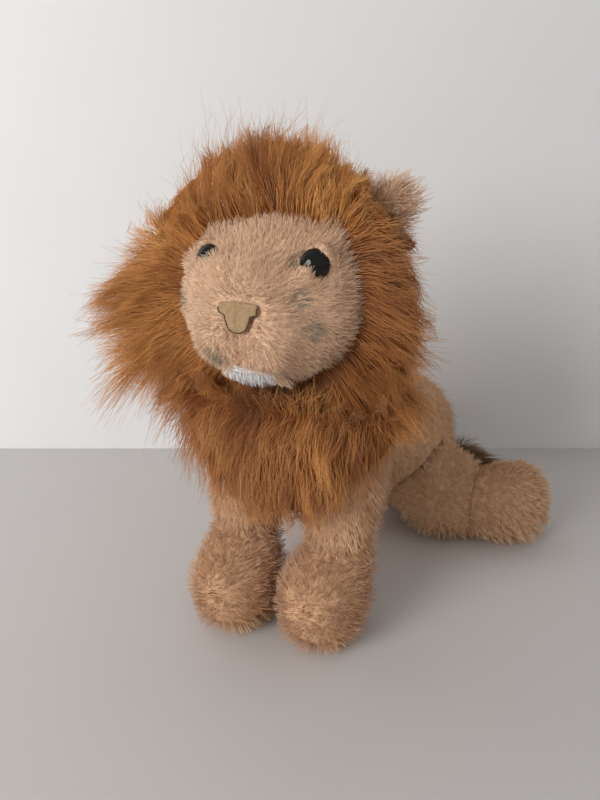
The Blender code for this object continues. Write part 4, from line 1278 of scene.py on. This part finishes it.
def grow_face(coat, chin, trees):
    rows, fields = face_fields(coat)
    thin_near(fields, rows, trees["nose"], *FACE_NOSE_SPAN)
    for name in SIDES:
        fields["cover"] *= smooth_step(signed_distance(rows, trees["eye_" + name]), *FACE_EYE_SPAN)
    chin_near = signed_distance(rows, trees["chin"])
    fields["cover"] *= smooth_step(chin_near, *FACE_CHIN_SPAN)
    fields["cover"] *= 1 - smooth_step(rows[:, 1], *FACE_BACK_SPAN)
    grow("face_pile", coat, fields, "head", "face strands", FACE)
    fields = plain_fields(chin, pile=CHIN_PILE, fall=(0.0, 0.0, 0.0))
    rows = points_of(chin.data)
    fields["comb"] = unit(rows - np.array(NOSE_CENTRE))
    whole = turned_away(rows, normals_of(chin.data), trees["face"]) * 1.0
    white = 1 - smooth_step(
        np.abs(rows[:, 0]), CHIN_WHITE_HALF - CHIN_WHITE_EASE, CHIN_WHITE_HALF + CHIN_WHITE_EASE
    )
    fields["cover"] = whole * white
    grow("chin_pile", chin, fields, "head", "chin strands")
    fields["cover"] = whole * (1 - white)
    grow("chin_edge_pile", chin, fields, "head", "face strands")


def grow_ear(name, coat, side):
    fields = plain_fields(coat, (side * 0.7, 0.0, 0.7), lift=0.50, pile=EAR_PILE, tint=0.56)
    grow("ear_pile", coat, fields, "head", "face strands", side=name)


def mane_fields(coat, trees):
    rows = points_of(coat.data)
    normals = normals_of(coat.data)
    middle = np.array(HEAD_MIDDLE)
    spread = (rows - middle) * np.array((1.0, 0.0, 1.0))
    radial = unit(spread)
    front = smooth_step(-normals[:, 1], -0.1, 0.6).reshape(-1, 1)
    back = smooth_step(normals[:, 1], 0.2, 0.9).reshape(-1, 1)
    comb = radial * (1 - back) + np.array((0.0, 0.55, 0.0)) * (1 - front)
    comb = comb + np.array((0.0, 0.2, -1.0)) * back
    low = smooth_step(THROAT_TOP - rows[:, 2], 0.0, THROAT_EASE).reshape(-1, 1)
    above = smooth_step(rows[:, 2], *CROWN_SPAN).reshape(-1, 1) * (1 - back)
    comb = comb * (1 - above * np.array((0.72, 0.0, 0.0))) + np.array((0.0, 0.0, 0.5)) * above
    sweep = smooth_step(-rows[:, 0], *SWEEP_SIDE_SPAN)
    sweep = sweep * smooth_step(SWEEP_TOP - rows[:, 2], 0.0, SWEEP_EASE)
    sweep = sweep.reshape(-1, 1)
    comb = comb + np.array((-0.6, 0.0, -0.25)) * sweep
    fields = plain_fields(coat, pile=MANE_PILE, patches=MANE_PATCHES)
    fields["comb"] = comb
    fields["fall"] = np.array((0.0, 0.0, -0.12)) - np.array((0.0, 0.0, 0.45)) * low
    fields["lift"] = 0.22 + 0.14 * (1 - front[:, 0])
    drop = smooth_step(rows[:, 0], *DROP_SIDE_SPAN) * smooth_step(rows[:, 1], *DROP_BACK_SPAN)
    fields["comb"] += np.array((0.0, 0.2, -1.1)) * drop.reshape(-1, 1)
    fields["lift"] *= 1 - 0.30 * drop
    fields["short"] = 1 - 0.50 * smooth_step(normals[:, 2], 0.25, 0.85) - 0.42 * drop
    fields["short"] *= 1 - 0.42 * smooth_step(rows[:, 2], *CROWN_SHORT_SPAN)
    aside = smooth_step(rows[:, 0], *LOW_LEFT_SIDE_SPAN)
    aside = aside * (1 - smooth_step(rows[:, 2], *LOW_LEFT_HEIGHT_SPAN))
    fields["short"] *= 1 - 0.45 * aside
    from_ears = signed_distance(rows, trees["ears"])
    fields["short"] *= 0.25 + 0.75 * smooth_step(from_ears, *EAR_PILE_SPAN)
    fields["cover"] *= smooth_step(from_ears, *EAR_COVER_SPAN)
    notch = bell(rows[:, 0], NOTCH_PLACE, NOTCH_REACH) * smooth_step(rows[:, 2], *NOTCH_HEIGHT_SPAN)
    peak = bell(rows[:, 0], PEAK_PLACE, PEAK_REACH) * smooth_step(rows[:, 2], *PEAK_HEIGHT_SPAN)
    fields["short"] *= (1 - 0.74 * notch) * (1 + 0.20 * peak)
    fields["comb"] = fields["comb"] * (1 - 0.7 * peak.reshape(-1, 1) * np.array((1.0, 0.0, 0.0)))
    # Painted shade: the hair is darker at the throat under the chin, and on the toy's left side, away from
    # the lamp. Painted light: it is lighter where it is brushed out on the toy's right, towards the lamp.
    fields["tint"] -= 0.16 * low[:, 0] + 0.14 * smooth_step(rows[:, 0], *LEFT_SHADE_SPAN)
    fields["tint"] += 0.12 * sweep[:, 0]
    fields["pile"] *= fields["short"] * (1 + 0.35 * sweep[:, 0])
    fields["pile"] += (THROAT_PILE - MANE_PILE) * low[:, 0] * front[:, 0]
    fields["cover"] *= smooth_step(signed_distance(rows, trees["face"]), *MANE_FACE_SPAN)
    fields["cover"] *= smooth_step(signed_distance(rows, trees["chin"]), *MANE_CHIN_SPAN)
    bare = (np.abs(rows[:, 0]) < BARE_HALF_WIDTH) * (rows[:, 2] > BARE_LOW) * (rows[:, 1] < BARE_BACK)
    fields["cover"] *= 1 - bare
    return rows, normals, fields


def grow_mane(coat, trees):
    rows, normals, fields = mane_fields(coat, trees)
    angle = np.arctan2(rows[:, 2] - HEAD_MIDDLE[2], rows[:, 0])
    behind = normals[:, 1] > 0.55
    sectors = {
        "mane_hair_back": behind,
        "mane_hair_left": ~behind & (np.abs(angle) < math.radians(45)),
        "mane_hair_crown": ~behind & (np.abs(angle - math.radians(90)) < math.radians(45)),
        "mane_hair_right": ~behind & (np.abs(angle) > math.radians(135)),
        "mane_hair_throat": ~behind & (np.abs(angle + math.radians(90)) <= math.radians(45)),
    }
    whole = fields["cover"]
    for kind, inside in sectors.items():
        fields["cover"] = whole * inside
        grow(kind, coat, fields, "head", "mane strands", MANE)
    fields["cover"] = whole * (~behind)
    left = 1 - 0.35 * smooth_step(rows[:, 0], *WISP_LEFT_SPAN)
    fields["pile"] = WISP_PILE * np.sqrt(fields["short"]) * left
    peak = bell(rows[:, 0], WISP_PEAK_PLACE, WISP_PEAK_REACH) * smooth_step(rows[:, 2], *PEAK_HEIGHT_SPAN)
    fields["pile"] *= 1 + 0.3 * peak
    grow("mane_wisps", coat, fields, "head", "mane strands", WISPS)


def grow_bib(coat, trees):
    rows = points_of(coat.data)
    fields = plain_fields(
        coat, (0.0, -0.15, -1.0), lift=0.26, tint=0.40, fall=(0.0, 0.0, -0.4), patches=BIB_PATCHES
    )
    height = smooth_step(rows[:, 2], *BIB_HEIGHT_SPAN)
    away = signed_distance(rows, trees["body"])
    fields["pile"] = BIB_LOW_PILE + (BIB_PILE - BIB_LOW_PILE) * height * smooth_step(away, *BIB_EDGE_SPAN)
    fields["comb"][:, 0] += rows[:, 0] * 4.0 * height - rows[:, 0] * 5.0 * (1 - height)
    aside = smooth_step(rows[:, 0], *BIB_ASIDE_SPAN)
    fields["comb"] += np.array((-0.3, -0.4, 0.0)) * aside.reshape(-1, 1)
    fields["pile"] *= 1 - 0.25 * aside
    rim = smooth_step(rows[:, 2], *BIB_RIM_SPAN)
    fields["lift"] += 0.24 * rim
    fields["comb"] += np.array((0.0, -0.6, 0.9)) * rim.reshape(-1, 1)
    fields["pile"] *= 1 - 0.08 * rim
    normals = normals_of(coat.data)
    shown = turned_away(rows, normals, trees["body"]) | ((rim > 0.5) & (normals[:, 2] > -0.3))
    fields["cover"] *= shown * (1 + 1.2 * rim)
    fields["cover"] *= smooth_step(away, *BIB_COVER_SPAN)
    front = rows[:, 1] < BIB_FRONT
    whole = fields["cover"]
    for kind, inside in (("bib_hair_front", front), ("bib_hair_sides", ~front)):
        fields["cover"] = whole * inside
        grow(kind, coat, fields, "torso", "mane strands", MANE)


# Eyes


def eye_profile():
    """Radius and place of each ring of an eye, from the front of its dome to the end of its shank."""
    rings = []
    for k in range(1, DOME_STEPS + 1):
        turn = 0.5 * math.pi * k / DOME_STEPS
        rings.append((EYE_RADIUS * math.sin(turn), EYE_DOME * (math.cos(turn) - 1)))
    back = -EYE_DOME - EYE_RIM
    soft = EYE_SOFT_SHARE * EYE_RIM
    rings.append((EYE_RADIUS, back + soft))
    rings.append((EYE_RADIUS - soft, back))
    rings.append((SHANK_RADIUS + soft, back))
    rings.append((SHANK_RADIUS, back - soft))
    rings.append((SHANK_RADIUS, soft - EYE_LENGTH))
    rings.append((SHANK_RADIUS - soft, -EYE_LENGTH))
    return rings


def build_eye(name):
    """The glossy dome with its rim and shank, turned finely about the eye's own axis."""
    pole, axis = eye_line(name)
    first = axis.orthogonal().normalized()
    second = axis.cross(first)
    mesh = bmesh.new()
    front = mesh.verts.new(pole)
    rings = []
    for radius, place in eye_profile():
        ring = []
        for k in range(EYE_STEPS):
            turn = 2 * math.pi * k / EYE_STEPS
            spoke = first * math.cos(turn) + second * math.sin(turn)
            ring.append(mesh.verts.new(pole + axis * place + spoke * radius))
        rings.append(ring)
    back = mesh.verts.new(pole - axis * EYE_LENGTH)
    for k in range(EYE_STEPS):
        after = (k + 1) % EYE_STEPS
        mesh.faces.new((front, rings[0][k], rings[0][after]))
        mesh.faces.new((back, rings[-1][after], rings[-1][k]))
        for near, far in zip(rings, rings[1:]):
            mesh.faces.new((near[k], far[k], far[after], near[after]))
    bmesh.ops.recalc_face_normals(mesh, faces=mesh.faces)
    data = bpy.data.meshes.new("eye")
    mesh.to_mesh(data)
    mesh.free()
    data.materials.append(FINISHES["eye"])
    eye = add_piece("safety_eye_" + name, data, "head")
    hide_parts("eye_" + name)


# Nose


def build_nose():
    """The sewn cloth patch, with its crease and the dark thread along its lower edge."""
    data = whole_surface(["nose"], NOSE_VOXEL, 5)
    rows = points_of(data)
    normals = normals_of(data)
    facing = smooth_step(-normals[:, 1], *NOSE_FRONT_SPAN)
    crease = bell(rows[:, 0], 0.0, CREASE_WIDTH) * facing
    inner = 1 - np.abs(rows[:, 0]) / NOSE_HALF_WIDTH
    puff = NOSE_PUFF * facing * np.clip(inner, 0, 1)
    move_points(data, rows + normals * (puff - CREASE_DEPTH * crease).reshape(-1, 1))
    data.materials.clear()
    data.materials.append(FINISHES["nose"])
    patch = add_piece("nose_patch", data, "head")
    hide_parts("nose")
    build_thread(tree_of(data))


def thread_points(surface):
    """Points on the patch along its sides and lower edge."""
    half = [
        (x * NOSE_HALF_WIDTH * THREAD_INSET_SHARE, NOSE_TOP - z * NOSE_HEIGHT * THREAD_INSET_SHARE)
        for x, z in NOSE_SHARES[2:]
    ]
    outline = half + [(-x, z) for x, z in half[-2::-1]]
    spots = []
    for (x, z), (next_x, next_z) in zip(outline, outline[1:]):
        for k in range(THREAD_PARTS):
            share = k / THREAD_PARTS
            spots.append((x + (next_x - x) * share, z + (next_z - z) * share))
    points = []
    for x, z in spots:
        spot, normal, _, _ = surface.ray_cast(Vector((x, THREAD_AHEAD, z)), Vector((0, 1, 0)))
        if spot:
            points.append(spot + normal * (THREAD_RISE_SHARE * THREAD_RADIUS))
    return points


def stitch_tree():
    """Geometry nodes that lay stitches along a path."""
    tree = bpy.data.node_groups.new("stitches", "GeometryNodeTree")
    sockets = tree.interface
    sockets.new_socket("Path", in_out="INPUT", socket_type="NodeSocketGeometry")
    for name in ("Step", "Length", "Thread Radius"):
        sockets.new_socket(name, in_out="INPUT", socket_type="NodeSocketFloat")
    sockets.new_socket("Finish", in_out="INPUT", socket_type="NodeSocketMaterial")
    sockets.new_socket("Stitches", in_out="OUTPUT", socket_type="NodeSocketGeometry")
    given = tree.nodes.new("NodeGroupInput").outputs
    out = tree.nodes.new("NodeGroupOutput").inputs
    path = node(tree, "GeometryNodeMeshToCurve", {"Mesh": given["Path"]}).outputs[0]
    spots = node(tree, "GeometryNodeCurveToPoints", {"Curve": path, "Length": given["Step"]}, mode="LENGTH")
    tangent = spots.outputs["Tangent"]
    turn = node(tree, "FunctionNodeAlignEulerToVector", {"Vector": tangent}, axis="Z").outputs[0]
    stitch = node(tree, "GeometryNodeMeshUVSphere", {"Segments": 8, "Rings": 6, "Radius": 1.0}).outputs[0]
    half = maths(tree, "MULTIPLY", given["Length"], 0.5)
    size = node(
        tree, "ShaderNodeCombineXYZ", {0: given["Thread Radius"], 1: given["Thread Radius"], 2: half}
    ).outputs[0]
    wires = {"Points": spots.outputs["Points"], "Instance": stitch, "Rotation": turn, "Scale": size}
    made = node(tree, "GeometryNodeInstanceOnPoints", wires).outputs[0]
    made = node(tree, "GeometryNodeRealizeInstances", {"Geometry": made}).outputs[0]
    made = node(tree, "GeometryNodeSetMaterial", {"Geometry": made, "Material": given["Finish"]}).outputs[0]
    tree.links.new(made, out["Stitches"])
    return tree


def build_thread(surface):
    points = thread_points(surface)
    data = bpy.data.meshes.new("thread_path")
    data.from_pydata(points, [(k, k + 1) for k in range(len(points) - 1)], [])
    helper = add_object("thread_path", data)
    values = {
        "Step": STITCH_STEP,
        "Length": STITCH_LENGTH,
        "Thread Radius": THREAD_RADIUS,
        "Finish": FINISHES["thread"],
    }
    add_piece("nose_thread", made_by_nodes(helper, stitch_tree(), values), "head")


def build():
    torso = build_torso()
    forelegs = {name: build_foreleg(name) for name in SIDES}
    hind_legs = {name: build_hind_leg(name, side) for name, side in SIDES.items()}
    tail, tuft = build_tail()
    face = build_face()
    chin = build_chin()
    ears = {name: build_ear(name) for name in SIDES}
    body_tree = tree_of(torso.data, forelegs["left"].data, forelegs["right"].data)
    mane = build_mane_base(solids_tree("face_skin", "head_stuffing"))
    bib = build_bib_base(body_tree)
    legs = [*forelegs.values(), *(part for leg in hind_legs.values() for part in leg)]
    trees = {
        "torso": tree_of(torso.data),
        "body": body_tree,
        "legs": tree_of(*(leg.data for leg in legs)),
        "bib": tree_of(bib.data),
        "face": tree_of(face.data),
        "nose": solids_tree("nose"),
        "chin": solids_tree("chin_patch"),
        "ears": solids_tree("ear_left", "ear_right"),
        "eye_left": solids_tree("eye_left"),
        "eye_right": solids_tree("eye_right"),
    }
    grow_torso(torso, trees)
    for name, side in SIDES.items():
        grow_foreleg(name, forelegs[name], trees)
        grow_hind_leg(name, *hind_legs[name], trees, side)
        grow_ear(name, ears[name], side)
        build_eye(name)
        finish_node("eye_washer_" + name, "washer")
    build_nose()
    grow_tail(tail, tuft, trees)
    grow_face(face, chin, trees)
    grow_mane(mane, trees)
    grow_bib(bib, trees)


build()


# Room, light and camera


def flat_sheet(name, corners, colour, roughness):
    data = bpy.data.meshes.new(name)
    data.from_pydata(corners, [], [(0, 1, 2, 3)])
    finish, tree, shader = new_finish(name, roughness)
    place = node(tree, "ShaderNodeTexCoord").outputs["Object"]
    grain = node(tree, "ShaderNodeTexNoise", {"Vector": place, "Scale": 6.0, "Detail": 4.0})
    dull = tuple(DULL_SHARE * part for part in colour)
    tree.links.new(ramp(tree, grain.outputs[0], [(0.3, dull), (0.7, colour)]), shader.inputs["Base Color"])
    data.materials.append(finish)
    add_object(name, data)
    return tree, shader


def build_room():
    half = FLOOR_HALF
    corners = ((-half, -half), (half, -half), (half, half), (-half, half))
    flat_sheet("floor", [(x, y, -FLOOR_GAP) for x, y in corners], FLOOR_COLOUR, 0.6)
    ahead = Vector((-math.sin(CAMERA_AZIMUTH), math.cos(CAMERA_AZIMUTH), 0))
    beside = Vector((ahead.y, -ahead.x, 0))
    foot = Vector((CAMERA_PLACE.x, CAMERA_PLACE.y, -FLOOR_GAP)) + ahead * WALL_DISTANCE
    corners = [
        foot - beside * WALL_HALF_WIDTH,
        foot + beside * WALL_HALF_WIDTH,
        foot + beside * WALL_HALF_WIDTH + Vector((0, 0, WALL_HEIGHT)),
        foot - beside * WALL_HALF_WIDTH + Vector((0, 0, WALL_HEIGHT)),
    ]
    tree, shader = flat_sheet("wall", corners, WALL_COLOUR, 0.8)
    clear = tree.nodes.new("ShaderNodeBsdfTransparent")
    back = tree.nodes.new("ShaderNodeNewGeometry").outputs["Backfacing"]
    mixed = tree.nodes.new("ShaderNodeMixShader")
    tree.links.new(back, mixed.inputs[0])
    tree.links.new(shader.outputs[0], mixed.inputs[1])
    tree.links.new(clear.outputs[0], mixed.inputs[2])
    tree.links.new(mixed.outputs[0], tree.nodes["Material Output"].inputs["Surface"])


def add_lamp(name, place, aim, size, power):
    lamp = bpy.data.lights.new(name, "AREA")
    lamp.shape = "DISK"
    lamp.size = size
    lamp.energy = power
    made = add_object(name, lamp)
    made.location = place
    made.rotation_euler = (Vector(aim) - Vector(place)).to_track_quat("-Z", "Y").to_euler()


def light_room():
    world = bpy.data.worlds.new("studio")
    world.use_nodes = True
    world.node_tree.nodes["Background"].inputs["Color"].default_value = WORLD_COLOUR
    world.node_tree.nodes["Background"].inputs["Strength"].default_value = WORLD_STRENGTH
    bpy.context.scene.world = world
    add_lamp("window", WINDOW_PLACE, WINDOW_AIM, WINDOW_SIZE, WINDOW_POWER)


def add_camera():
    data = bpy.data.cameras.new("camera")
    data.sensor_fit = "VERTICAL"
    data.sensor_height = SENSOR
    data.lens = LENS
    camera = add_object("camera", data)
    level = math.cos(CAMERA_PITCH)
    ahead = Vector((
        -math.sin(CAMERA_AZIMUTH) * level, math.cos(CAMERA_AZIMUTH) * level, -math.sin(CAMERA_PITCH)
    ))
    camera.location = CAMERA_PLACE
    camera.rotation_euler = ahead.to_track_quat("-Z", "Y").to_euler()
    bpy.context.scene.camera = camera


build_room()
light_room()
add_camera()
bpy.context.scene.view_settings.view_transform = "Standard"
